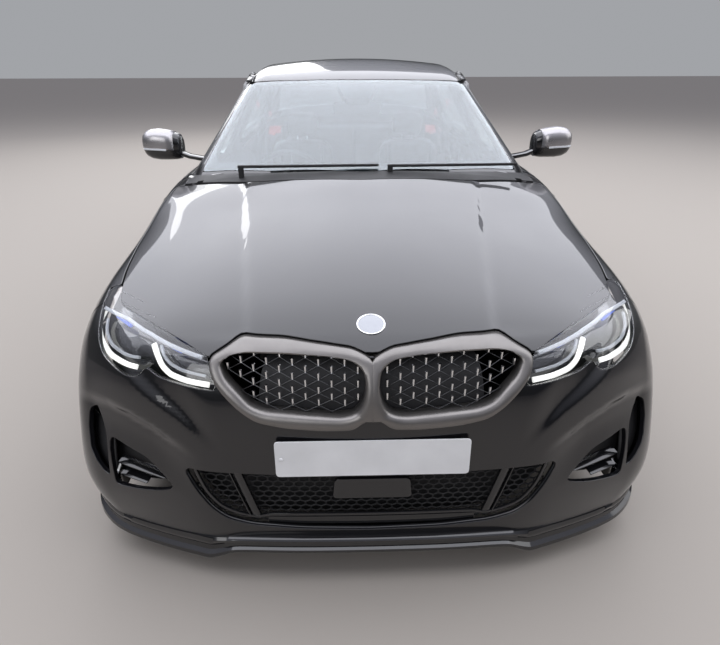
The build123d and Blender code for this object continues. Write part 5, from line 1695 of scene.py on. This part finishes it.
rounded_slab("number_plate", plate_line, on_plinth, 3 * mm, plate_white, "body_shell", 0.8 * mm)
holder_line = rounded(np.array([
    (-half_x + 0.02, plate_middle - half_z + 0.008), (half_x - 0.02, plate_middle - half_z + 0.008),
    (half_x - 0.02, plate_middle + half_z - 0.008), (-half_x + 0.02, plate_middle + half_z - 0.008),
]), 8 * mm)
rounded_slab("plate_holder", holder_line, lambda flat, height: on_plinth(flat, height - 16 * mm), 15.5 * mm,
             matt_black, "body_shell")
screw_turns = np.linspace(0, 2 * math.pi, 24, endpoint=False)
cap_middle, cap_radius = (-half_x + 16 * mm, plate_middle), 5.5 * mm
cap_line = np.array(cap_middle) + cap_radius * np.stack([np.cos(screw_turns), np.sin(screw_turns)], 1)
rounded_slab("plate_screw_cap", cap_line, lambda flat, height: on_plinth(flat, height + 2.6 * mm), 2.6 * mm,
             plate_white, "body_shell", 1.6 * mm)

badge_place = cast(lower_body, np.array([[0, -2.185, 0.5]]), np.array([[0, 0, 1.0]]), 1.0)[0]
badge_up = field_normals(lower_body, badge_place[None])[0]


def lathe(name, profile, origin, axis, side, material, body, count=64):
    """Turned piece: profile pairs are radius and height along the axis."""
    other = np.cross(axis, side)
    turns = np.linspace(0, 2 * math.pi, count, endpoint=False)
    rings = [
        origin + axis * height + radius * (np.cos(turns)[:, None] * side + np.sin(turns)[:, None] * other)
        for radius, height in profile
    ]
    faces = band_faces(len(profile), count)
    closed = profile[0] == profile[-1]
    points = np.concatenate(rings)
    if not closed:
        faces.append(list(range(count))[::-1])
        faces.append(list(range(len(points) - count, len(points))))
    piece = make_object(name, points, faces, material)
    outward_faces(piece)
    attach(piece, body)
    return piece


badge_side = np.array((1.0, 0, 0))
# Columns of both: radius and height in millimetres
rim_rows = np.array([(39, -3), (39.5, 0.5), (38.5, 2), (36.5, 2.4), (35, 1.6), (34.5, -2)]) * mm
disc_rows = np.array([(34.6, -3), (34.6, 1.2), (30, 1.9), (15, 2.7), (2, 3)]) * mm
for name, profile, material in (("badge_rim", rim_rows, bright_metal), ("badge_disc", disc_rows, badge_grey)):
    lathe(name, profile.tolist(), badge_place, badge_up, badge_side, material, "bonnet")

# %% Side intakes: dark pockets with fins behind the bumper's openings
fin_rows = (215, 262, 309, 350)
for side, sign in (("left", 1), ("right", -1)):
    line = side_intake_line if sign > 0 else side_intake_other
    turns_range = (20, 82) if sign > 0 else (-82, -20)
    rays = from_post((0.12, 0.42), turns_range, 10 * mm, -1.45)
    panel(f"side_intake_pocket_{side}", lower_body, rays, [within("front", line, 14 * mm)], matt_black,
          "body_shell", thickness=4 * mm, inset=60 * mm)
    for number, level in enumerate(fin_rows):
        ends = np.array([(x, level + (x - 700) * 0.10) for x in np.linspace(592, 842, 24)]) * mm
        held = ends[inside(ends, side_intake_line) > 4 * mm]
        if len(held) < 4:
            continue
        centres = in_nose(held, 34 * mm)
        facings = np.tile((0.0, -0.35, 1.0), (len(centres), 1))
        swept_bar(f"side_intake_fin_{side}_{number}", centres * (sign, 1, 1), facings, 30 * mm, 4 * mm,
                  gloss_black, "body_shell")
    curtain = curtain_line if sign > 0 else across(curtain_line)
    rays = from_post((0.14, 0.46), (35, 86) if sign > 0 else (-86, -35), 10 * mm, -1.45)
    panel(f"air_curtain_{side}", lower_body, rays, [within("front", curtain, 10 * mm), under(1, -1.90)],
          matt_black, "body_shell", thickness=4 * mm, inset=30 * mm)

# %% Lip under the bumper
# Columns: place across, place along, lower edge, upper edge
lip_table = np.array([
    (0, -2357, 120, 168), (215, -2354, 119, 168), (372, -2345, 117, 166), (430, -2336, 100, 160),
    (478, -2327, 74, 156), (520, -2315, 70, 156), (610, -2286, 70, 154), (730, -2245, 78, 158),
    (800, -2212, 86, 168), (840, -2182, 96, 184), (868, -2150, 108, 204), (886, -2110, 118, 212),
    (893, -2050, 122, 206), (893, -1935, 120, 190), (890, -1905, 120, 186),
])
lip_at = smooth_curve(np.arange(len(lip_table)), lip_table * mm)
# Columns: how far out, then the height as a share between lower and upper edge
lip_profile = [
    (-70, 0.05), (-12, 0.0), (0, 0.0), (5, 0.10), (3, 0.24), (-8, 0.34), (-11, 0.52), (-3, 0.66), (-2, 0.86),
    (-8, 0.97), (-20, 1.0), (-70, 0.9),
]
stations = lip_at(np.linspace(0, len(lip_table) - 1, 120))
stations = np.concatenate([stations[:0:-1] * (-1, 1, 1, 1), stations])
plan_runs = np.gradient(stations[:, :2], axis=0)
plan_runs /= np.linalg.norm(plan_runs, axis=1, keepdims=True)
plan_out = np.stack([plan_runs[:, 1], -plan_runs[:, 0]], 1)
lip_rings = []
for out, share in lip_profile:
    flat = stations[:, :2] + plan_out * out * mm
    lip_rings.append(np.column_stack([flat, stations[:, 2] + share * (stations[:, 3] - stations[:, 2])]))
lip_points = np.stack(lip_rings, 1).reshape(-1, 3)
lip = make_object("front_lip", lip_points, closed_faces(len(stations), len(lip_profile)), gloss_black)
outward_faces(lip)
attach(lip, "body_shell")
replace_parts(lip, "front_splitter")
print("nose done")

# %% [markdown]
# ## Wheels
# Wheels don't show in the photograph, so they follow the CAD wheel: five pairs of spokes, a deep rim and a
# low tyre. Geometry Nodes put the tread's blocks on rows of points round the tyre.

# %% Tread blocks by Geometry Nodes
def build_tread_tree():
    """Geometry Nodes tree: copies of a block on points, turned with each point's own angle."""
    tree = bpy.data.node_groups.new("tread_blocks", "GeometryNodeTree")
    face = tree.interface
    face.new_socket("Places", in_out="INPUT", socket_type="NodeSocketGeometry")
    for title, value in (("Length", 0.02), ("Width", 0.03), ("Depth", 0.008)):
        face.new_socket(title, in_out="INPUT", socket_type="NodeSocketFloat").default_value = value
    face.new_socket("Material", in_out="INPUT", socket_type="NodeSocketMaterial")
    face.new_socket("Blocks", in_out="OUTPUT", socket_type="NodeSocketGeometry")
    new = tree.nodes.new
    entry, exit = new("NodeGroupInput"), new("NodeGroupOutput")
    block, size = new("GeometryNodeMeshCube"), new("ShaderNodeCombineXYZ")
    turn, stretch = new("GeometryNodeInputNamedAttribute"), new("GeometryNodeInputNamedAttribute")
    for node, title in ((turn, "turn"), (stretch, "stretch")):
        node.data_type = "FLOAT_VECTOR"
        node.inputs["Name"].default_value = title
    place = new("GeometryNodeInstanceOnPoints")
    realize, finish = new("GeometryNodeRealizeInstances"), new("GeometryNodeSetMaterial")
    join_sockets(tree, [
        (entry, "Width", size, "X"), (entry, "Length", size, "Y"), (entry, "Depth", size, "Z"),
        (size, "Vector", block, "Size"), (entry, "Places", place, "Points"),
        (block, "Mesh", place, "Instance"), (turn, "Attribute", place, "Rotation"),
        (stretch, "Attribute", place, "Scale"),
        (place, "Instances", realize, "Geometry"), (realize, "Geometry", finish, "Geometry"),
        (entry, "Material", finish, "Material"), (finish, "Geometry", exit, "Blocks"),
    ])
    return tree


tread_tree = build_tread_tree()


def blocks_at(name, places, turns, stretches, sizes, body):
    """Runs the block tree over points and keeps the result as a plain mesh."""
    cloud = bpy.data.meshes.new(name + "_places")
    cloud.from_pydata(np.asarray(places).tolist(), [], [])
    for title, values in (("turn", turns), ("stretch", stretches)):
        marks = cloud.attributes.new(title, "FLOAT_VECTOR", "POINT")
        marks.data.foreach_set("vector", np.asarray(values, float).ravel())
    return run_tree(name, cloud, tread_tree, sizes, body)


# %% Wheel parts
outboard = np.array((1.0, 0, 0))
upward = np.array((0, 0, 1.0))
# Columns: radius and place across the tyre as a share of its half width
tyre_profile = [
    (0.244, -0.86), (0.252, -0.93), (0.268, -0.98), (0.290, -0.995), (0.306, -0.97), (0.317, -0.90),
    (0.3225, -0.80), (0.3235, -0.62), (0.3240, 0.0), (0.3235, 0.62), (0.3225, 0.80), (0.317, 0.90),
    (0.306, 0.97), (0.296, 0.992), (0.294, 0.998), (0.288, 0.998), (0.286, 0.994), (0.268, 0.98),
    (0.252, 0.93), (0.244, 0.86),
]
tyre_profile.append(tyre_profile[0])
rim_profile = [
    (0.222, 0.96), (0.238, 0.98), (0.2415, 0.955), (0.2415, 0.915), (0.232, 0.90), (0.226, 0.80),
    (0.221, 0.40), (0.214, -0.10), (0.214, -0.70), (0.224, -0.86), (0.232, -0.90), (0.2415, -0.92),
    (0.2415, -0.95), (0.236, -0.96), (0.220, -0.90), (0.209, -0.70), (0.209, -0.10), (0.215, 0.40),
    (0.2185, 0.86), (0.222, 0.96),
]
hub_profile = [(0.072, 0.20), (0.074, 0.60), (0.066, 0.665), (0.040, 0.69), (0.036, 0.66), (0.004, 0.66)]
cap_profile = [(0.033, 0.60), (0.033, 0.70), (0.030, 0.725), (0.004, 0.74)]
# Columns: radius, width, place across as a share of the half width, and depth
spoke_sections = [
    (0.050, 30, 0.66, 34), (0.085, 25, 0.70, 30), (0.130, 20, 0.78, 26), (0.175, 18, 0.86, 24),
    (0.205, 20, 0.90, 22), (0.222, 28, 0.88, 20),
]
# Columns: place across as a share of the half width, width as such a share, and skew
tread_rows = [
    (-0.78, 0.30, 0.5), (-0.42, 0.30, 0.0), (0.0, 0.26, 0.0), (0.42, 0.30, 0.0), (0.78, 0.30, -0.5),
]
tread_count = 64


def on_wheel(turn):
    """Direction from the axle at one turn of the wheel."""
    return np.array((0, math.sin(turn), math.cos(turn)))


def spoke_rings(turn, lean, centre, half):
    """Sections of one spoke from the hub out to the rim."""
    radial = on_wheel(turn)
    side = np.array((0, math.cos(turn), -math.sin(turn)))
    rings = []
    for radius, width, face, depth in spoke_sections:
        swing = lean * (radius - 0.05) / 0.17
        middle = centre + radial * radius + side * swing
        front = outboard * half * face
        w, d = width / 2 * mm, depth * mm
        corners = [(-w, -d), (w, -d), (w, -6 * mm), (w * 0.72, 0), (-w * 0.72, 0), (-w, -6 * mm)]
        rings.append(np.array([middle + front + side * a + outboard * b for a, b in corners]))
    return rings


def wheel(name, centre, half):
    """Dresses one left wheel: tyre, tread, rim, spokes, hub and cap."""
    centre = np.array(centre)

    def turned(part, profile, material, count=64):
        rows = [(r, a * half) for r, a in profile]
        return lathe(f"{name}_{part}", rows, centre, outboard, upward, material, name, count)

    tyre = turned("tyre", tyre_profile, rubber, 128)
    places, turns_of, stretches = [], [], []
    for row, (place, width, skew) in enumerate(tread_rows):
        out = 0.3255 - 0.0035 * abs(place) ** 3
        for index in range(tread_count):
            turn = (index + 0.5 * (row % 2)) / tread_count * 2 * math.pi
            places.append(centre + outboard * half * place + out * on_wheel(turn))
            turns_of.append((-turn, 0.0, skew * 0.5))
            stretches.append((half * width, 0.0262 if abs(place) < 0.7 else 0.0235, 1.0))
    tread = blocks_at(f"{name}_tread", places, turns_of, stretches,
                      {"Width": 1.0, "Length": 1.0, "Depth": 9 * mm, "Material": rubber}, name)
    rim = turned("rim", rim_profile, rim_paint, 96)
    points, faces = [], []
    for pair in range(5):
        for lean in (-0.030, 0.030):
            rings = spoke_rings(pair * 2 * math.pi / 5, lean, centre, half)
            start = len(points)
            points.extend(np.concatenate(rings))
            for ring in range(len(rings) - 1):
                for side in range(6):
                    a, b = start + ring * 6 + side, start + ring * 6 + (side + 1) % 6
                    faces.append([a, b, b + 6, a + 6])
            faces.append([start + side for side in range(6)])
            faces.append([start + (len(rings) - 1) * 6 + side for side in range(6)])
    spokes = make_object(f"{name}_spokes", np.array(points), faces, rim_paint)
    outward_faces(spokes)
    soft = spokes.modifiers.new("softened", "BEVEL")
    soft.width, soft.segments, soft.angle_limit = 2.5 * mm, 2, math.radians(30)
    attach(spokes, name)
    hub = turned("hub", hub_profile, rim_paint)
    cap = turned("cap", cap_profile, badge_grey, 40)
    return tyre, tread, rim, spokes, hub, cap


def bolts_of(name, centre, half):
    """Five wheel bolts round the hub."""
    bolt_turns = [(index + 0.5) * 2 * math.pi / 5 for index in range(5)]
    places = [np.array(centre) + outboard * half * 0.69 + 0.056 * on_wheel(turn) for turn in bolt_turns]
    return blocks_at(f"{name}_bolts", places, [(-turn, 0, 0) for turn in bolt_turns], [(1, 1, 1)] * 5,
                     {"Width": 14 * mm, "Length": 17 * mm, "Depth": 17 * mm, "Material": disc_steel}, name)


# Columns of the next three: radius and place along the axle
disc_profile = [
    (0.075, 0.02), (0.172, 0.02), (0.174, 0.018), (0.174, -0.008), (0.172, -0.010), (0.075, -0.010),
    (0.075, 0.02),
]
bell_profile = [
    (0.078, -0.012), (0.078, 0.030), (0.072, 0.036), (0.030, 0.036), (0.030, -0.012), (0.078, -0.012),
]
caliper_section = [
    (0.128, -0.045), (0.186, -0.045), (0.192, -0.038), (0.192, 0.050), (0.184, 0.058), (0.132, 0.058),
    (0.126, 0.050),
]


def brake(name, centre, disc_body, caliper_body):
    """Disc and bell that turn with the wheel, and a caliper that doesn't."""
    centre = np.array(centre)
    lathe(f"{name}_disc", disc_profile, centre, outboard, upward, disc_steel, disc_body, 96)
    lathe(f"{name}_disc_bell", bell_profile, centre, outboard, upward, dark_metal, disc_body, 48)
    turns = np.radians(np.linspace(-38, 38, 18)) + (math.pi if "front" in name else 0.0)
    rings = [
        [centre + outboard * a + r * on_wheel(t + math.pi / 2) for r, a in caliper_section] for t in turns
    ]
    points = np.concatenate([np.array(ring) for ring in rings])
    faces = closed_faces(len(rings), len(caliper_section))
    caliper = make_object(f"{name}_caliper", points, faces, cast_metal)
    outward_faces(caliper)
    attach(caliper, caliper_body)


wheel_table = {
    # Each wheel: half width of its tyre, place across the car and place along it
    "front": (112.5 * mm, 780 * mm, axle_y["front"]),
    "rear": (122.5 * mm, 772 * mm, axle_y["rear"]),
}
for axle, (half, across_place, along) in wheel_table.items():
    left = f"wheel_{axle}_left"
    right = f"wheel_{axle}_right"
    hub_place = (across_place, along, axle_z)
    made = wheel(left, hub_place, half)
    bolts = bolts_of(left, hub_place, half)
    for piece in (*made[:5], bolts, made[5]):
        copy = mirrored_copy(piece, piece.name.replace("_left", "_right"), right)
        share_modifiers(piece, copy, "width", "segments", "angle_limit")
    caliper_left = "knuckle_left" if axle == "front" else "body_shell"
    caliper_right = "knuckle_right" if axle == "front" else "body_shell"
    brake(left, hub_place, left, caliper_left)
    for part, body in (("disc", right), ("disc_bell", right), ("caliper", caliper_right)):
        mirrored_copy(bpy.data.objects[f"{left}_{part}"], f"{right}_{part}", body)
    for side, name in (("left", left), ("right", right)):
        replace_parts(bpy.data.objects[f"{name}_tyre"], f"tyre_{axle}_{side}")
        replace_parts(bpy.data.objects[f"{name}_rim"], f"rim_{axle}_{side}")
print("wheels done")

# %% [markdown]
# ## Running gear and cabin pieces kept from the frame
# These pieces have the right form already, so each only gets its own finish.

# %% Finishes on kept pieces
lining = finish_of("pale_lining", (0.30, 0.29, 0.275), 0.9, grain=0.6, grain_scale=1200.0)
kept_finishes = {
    "cowl_panel": matt_black, "wipers": matt_black, "dashboard": cabin_plastic, "steering_wheel": hide,
    "rear_deck": carpet, "rear_panel": matt_black, "floor_pan": carpet, "front_structure": dark_metal,
    "rear_diffuser": matt_black, "front_subframe": dark_metal, "upper_arms": cast_metal,
    "rear_subframe": dark_metal, "knuckle_left": cast_metal, "knuckle_right": cast_metal,
    "front_liners": matt_black, "rear_liners": matt_black, "engine_block": cast_metal,
    "exhaust": exhaust_steel,
}
for node, material in kept_finishes.items():
    mesh = nodes[node].data
    mesh.materials.clear()
    mesh.materials.append(material)
print("kept pieces", len(kept_finishes))

# %% [markdown]
# ## Door mirrors
# A black housing with a satin cap over its upper half, glass at the back, and a slim stalk to the door.

# %% Door mirrors
# Columns: x, middle z, half depth in y and half height in z, in millimetres
mirror_sections = np.array([
    (850, 1052, 34, 42), (858, 1054, 47, 55), (880, 1057, 54, 62), (915, 1061, 59, 67), (955, 1064, 61, 70),
    (990, 1065, 58, 66), (1012, 1066, 51, 57), (1024, 1066, 41, 44), (1031, 1066, 26, 27), (1033, 1066, 9, 9),
]) * mm
mirror_y = -766 * mm
glass_plane = -716 * mm
mirror_turns = np.radians(np.arange(0, 360, 7.5))


def mirror_ring(section, turns, proud=0.0):
    """Section of the housing: a squarish oval that is flat at the back."""
    x, z, half_y, half_z = section
    across_part = np.sign(np.cos(turns)) * np.abs(np.cos(turns)) ** 0.72
    upward_part = np.sign(np.sin(turns)) * np.abs(np.sin(turns)) ** 0.72
    y = np.minimum(mirror_y + across_part * (half_y + proud), glass_plane)
    return np.stack([np.full(len(turns), x), y, z + upward_part * (half_z + proud)], 1)


mirror_rings = [mirror_ring(section, mirror_turns) for section in mirror_sections]
turn_count = len(mirror_turns)
housing_faces = closed_faces(len(mirror_rings), turn_count)
housing = make_object("mirror_left_housing", np.concatenate(mirror_rings), housing_faces, gloss_black)
outward_faces(housing)
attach(housing, "door_front_left")
shell_turns = np.radians(np.linspace(-14, 188, 40))
cap_rings = [mirror_ring(section, shell_turns, 1.6 * mm) for section in mirror_sections[2:]]
cap_faces = band_faces(len(cap_rings), len(shell_turns), False)
cap = make_object("mirror_left_cap", np.concatenate(cap_rings), cap_faces, mirror_satin)
skin = cap.modifiers.new("thickness", "SOLIDIFY")
skin.thickness, skin.offset = 1.5 * mm, 0.0
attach(cap, "door_front_left")
glass_line = outline_mm([(868, 1004), (985, 1003), (1018, 1030), (1018, 1100), (985, 1124), (868, 1112)], 22)
mirror_pane = rounded_slab("mirror_left_pane", glass_line, facing_back(glass_plane - 1 * mm), 4 * mm,
                           bright_metal, "door_front_left")
stalk_line = np.array([
    (722, -768, 993), (770, -768, 999), (820, -767, 1008), (866, -766, 1026), (890, -766, 1040),
]) * mm
stalk = swept_bar("mirror_left_stalk", stalk_line, np.array([(0, 0, 1.0)] * len(stalk_line)), 58 * mm,
                  20 * mm, gloss_black, "door_front_left")
blinker_line = np.array([
    (x, mirror_y - half_y - 1 * mm, z - 16 * mm) for x, z, half_y, _ in mirror_sections[3:8]
])
blinker = swept_bar("mirror_left_blinker", blinker_line, np.array([(0, -1.0, 0)] * len(blinker_line)), 9 * mm,
                    4 * mm, guide_dim, "door_front_left")
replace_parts(housing, "mirror_left")
for piece in (housing, cap, mirror_pane, stalk, blinker):
    copy = mirrored_copy(piece, piece.name.replace("_left", "_right"), "door_front_right")
    share_modifiers(piece, copy, "thickness", "offset")
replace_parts(bpy.data.objects["mirror_right_housing"], "mirror_right")
print("mirrors done")

# %% [markdown]
# ## Windscreen border, roof lining and bulkhead
# The black border hides the glue line. The lining and bulkhead close the cabin behind the glass.

# %% Windscreen border, lining and bulkhead
def border_of(line, side_width, foot_width, foot_top):
    """Limit that keeps a band along an outline, wider at the foot of the glass."""
    def limit(points):
        low = 1 - fade(points[:, 2], foot_top - 45 * mm, foot_top)
        return side_width + (foot_width - side_width) * low - inside(points[:, [0, 1]], line)
    return limit


panel("windscreen_border", glass_house, from_below((-0.75, 0.75), (-1.11, -0.32), 11 * mm, 0.6),
      [within("plan", windscreen_line, -4 * mm), above(2, 0.945),
       border_of(windscreen_line, 26 * mm, 62 * mm, 1.035)],
      seal_rubber, "body_shell", thickness=1.5 * mm, roll=0.3 * mm, inset=6 * mm)
panel("roof_lining", glass_house, from_below((-0.56, 0.56), (-0.36, 0.92), 20 * mm, 0.8),
      [within("plan", roof_line, -22 * mm)], lining, "body_shell", thickness=3 * mm, inset=28 * mm)
bulkhead_line = outline_mm([(-600, 330), (600, 330), (600, 950), (-600, 950)], 30)
rounded_slab("bulkhead", bulkhead_line, facing_back(1.198), 5 * mm, carpet, "body_shell")
shelf_line = outline_mm([(-600, 1200), (600, 1200), (560, 1560), (-560, 1560)], 30)
rounded_slab("parcel_shelf", shelf_line, facing_up(0.940), 5 * mm, carpet, "body_shell")
camera_line = outline_mm([(-105, -400), (105, -400), (62, -545), (-62, -545)], 22)
panel("camera_housing", glass_house, from_below((-0.12, 0.12), (-0.56, -0.38), 6 * mm, 0.6),
      [within("plan", camera_line)], matt_black, "body_shell", thickness=34 * mm, roll=5 * mm, inset=10 * mm)
mirror_line = outline_mm([(-122, 1172), (122, 1172), (128, 1232), (-128, 1232)], 22)
rounded_slab("inner_mirror", mirror_line, facing_front(-0.505), 22 * mm, matt_black, "body_shell", 7 * mm)
print("screen done")

# %% [markdown]
# ## Seats
# Each pad starts as a rounded block, swells under cloth pressure, and then gets its sewn channels.

# %% Seats
def swollen(piece, limit):
    """Lets a closed mesh swell as cloth under pressure and keeps each point within a limit."""
    start = np.array([v.co for v in piece.data.vertices])
    cloth = piece.modifiers.new("cloth", "CLOTH")
    cloth.settings.use_pressure = True
    cloth.settings.uniform_pressure_force = 4.0
    cloth.settings.effector_weights.gravity = 0.0
    for step in range(1, 21):
        bpy.context.scene.frame_set(step)
    ready = piece.evaluated_get(bpy.context.evaluated_depsgraph_get())
    ended = np.array([v.co for v in ready.data.vertices])
    piece.modifiers.remove(cloth)
    bpy.context.scene.frame_set(1)
    move = ended - start
    length = np.linalg.norm(move, axis=1, keepdims=True)
    return start + move * np.minimum(1.0, limit / np.maximum(length, 1e-9))


def plain_copy(piece):
    """Mesh of a piece with its modifiers applied."""
    return bpy.data.meshes.new_from_object(piece.evaluated_get(bpy.context.evaluated_depsgraph_get()))


def soft_pad(name, half_sizes, bolster, channels, place, lean, voxel=14 * mm):
    """Padded block: rounded box, swollen, then pressed along its channels and put in place."""
    shape = bmesh.new()
    bmesh.ops.create_cube(shape, size=2)
    bmesh.ops.subdivide_edges(shape, edges=shape.edges, cuts=12, use_grid_fill=True)
    unit = np.array([v.co for v in shape.verts])
    unit /= ((np.abs(unit) ** 5).sum(axis=1) ** 0.2)[:, None]
    points = unit * half_sizes
    points[:, 2] += np.where(unit[:, 2] > 0, bolster * np.abs(unit[:, 0]) ** 4, 0)
    for vertex, point in zip(shape.verts, points):
        vertex.co = point
    mesh = bpy.data.meshes.new(name)
    shape.to_mesh(mesh)
    shape.free()
    mesh.materials.append(hide)
    piece = bpy.data.objects.new(name, mesh)
    bpy.context.scene.collection.objects.link(piece)
    even = piece.modifiers.new("even", "REMESH")
    even.mode, even.voxel_size = "VOXEL", voxel
    piece.data = plain_copy(piece)
    piece.modifiers.clear()
    grown = swollen(piece, 22 * mm)
    piece.data.vertices.foreach_set("co", grown.ravel())
    soft = piece.modifiers.new("soft", "SUBSURF")
    soft.levels = soft.render_levels = 1
    piece.data = plain_copy(piece)
    piece.modifiers.clear()
    points = np.array([v.co for v in piece.data.vertices])
    top = fade(points[:, 2], 0.0, half_sizes[2] * 0.5)
    for axis, at in channels:
        press = 9 * mm * np.exp(-((points[:, axis] - at) / (7 * mm)) ** 2)
        if axis == 1:
            press *= np.abs(points[:, 0]) < half_sizes[0] * 0.62
        points[:, 2] -= press * top
    c, s = math.cos(lean), math.sin(lean)
    leaning = points @ np.array([(1, 0, 0), (0, c, s), (0, -s, c)])
    piece.data.vertices.foreach_set("co", (leaning + np.array(place)).ravel())
    if not piece.data.materials:
        piece.data.materials.append(hide)
    piece.data.shade_smooth()
    piece.data.update()
    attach(piece, "body_shell")
    return piece


cushion_channels = [(0, -0.145), (0, 0.145)] + [(1, at) for at in (-0.16, -0.08, 0.0, 0.08, 0.16)]
back_channels = [(0, -0.14), (0, 0.14)] + [(1, at) for at in (-0.16, -0.06, 0.04, 0.14)]
for side, x in (("left", 0.37), ("right", -0.37)):
    cushion = soft_pad(f"seat_cushion_{side}", (0.232, 0.255, 0.070), 22 * mm, cushion_channels,
                       (x, 0.085, 0.392), math.radians(4))
    soft_pad(f"seat_back_{side}", (0.222, 0.290, 0.055), 20 * mm, back_channels,
             (x, 0.425, 0.675), math.radians(104))
    soft_pad(f"head_restraint_{side}", (0.105, 0.075, 0.042), 0.0, [], (x, 0.512, 1.022), math.radians(100),
             9 * mm)
    if side == "left":
        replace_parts(cushion, "front_seats")
rear_channels = [(0, -0.30), (0, 0.0), (0, 0.30)]
bench = soft_pad("rear_bench", (0.575, 0.175, 0.058), 0.0, rear_channels, (0, 0.980, 0.420), math.radians(4),
                 16 * mm)
soft_pad("rear_backrest", (0.575, 0.255, 0.045), 0.0, rear_channels, (0, 1.120, 0.735), math.radians(102),
         16 * mm)
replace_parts(bench, "rear_seat")
for side, x in (("left", 370), ("right", -370)):
    base_line = outline_mm([(x - 190, -150), (x + 190, -150), (x + 180, 330), (x - 180, 330)], 40)
    rounded_slab(f"seat_base_{side}", base_line, facing_up(0.191), 128 * mm, cabin_plastic, "body_shell",
                 10 * mm)
    for place, offset in (("inner", -35), ("outer", 35)):
        post = np.array([(x + offset, 492, 925), (x + offset, 503, 965), (x + offset, 512, 1000)]) * mm
        swept_bar(f"head_post_{side}_{place}", post, np.array([(0, -1.0, 0)] * 3), 11 * mm, 11 * mm,
                  bright_metal, "body_shell")
print("seats done")

# %% [markdown]
# ## Door handles
# Each handle is a bow on the door's skin, with both ends let into it.

# %% Door handles
# Start and end along the car, and height, in millimetres
handle_table = {"front": (-165, 15, 800), "rear": (795, 965, 812)}
for axle, (start, end, level) in handle_table.items():
    along = np.linspace(start, end, 24) * mm
    rise = 0.030 * np.sin(np.linspace(0, math.pi, 24)) ** 0.5
    foot = cast(lower_body, np.stack([0 * along + 0.40, along, 0 * along + level * mm], 1),
                np.tile((1.0, 0, 0), (24, 1)), 1.0)
    facing = field_normals(lower_body, foot)
    handle = swept_bar(f"door_handle_{axle}_left", foot + facing * (rise[:, None] - 6 * mm), facing,
                       24 * mm, 12 * mm, paint, f"door_{axle}_left")
    mirrored_copy(handle, f"door_handle_{axle}_right", f"door_{axle}_right")
print("handles done")
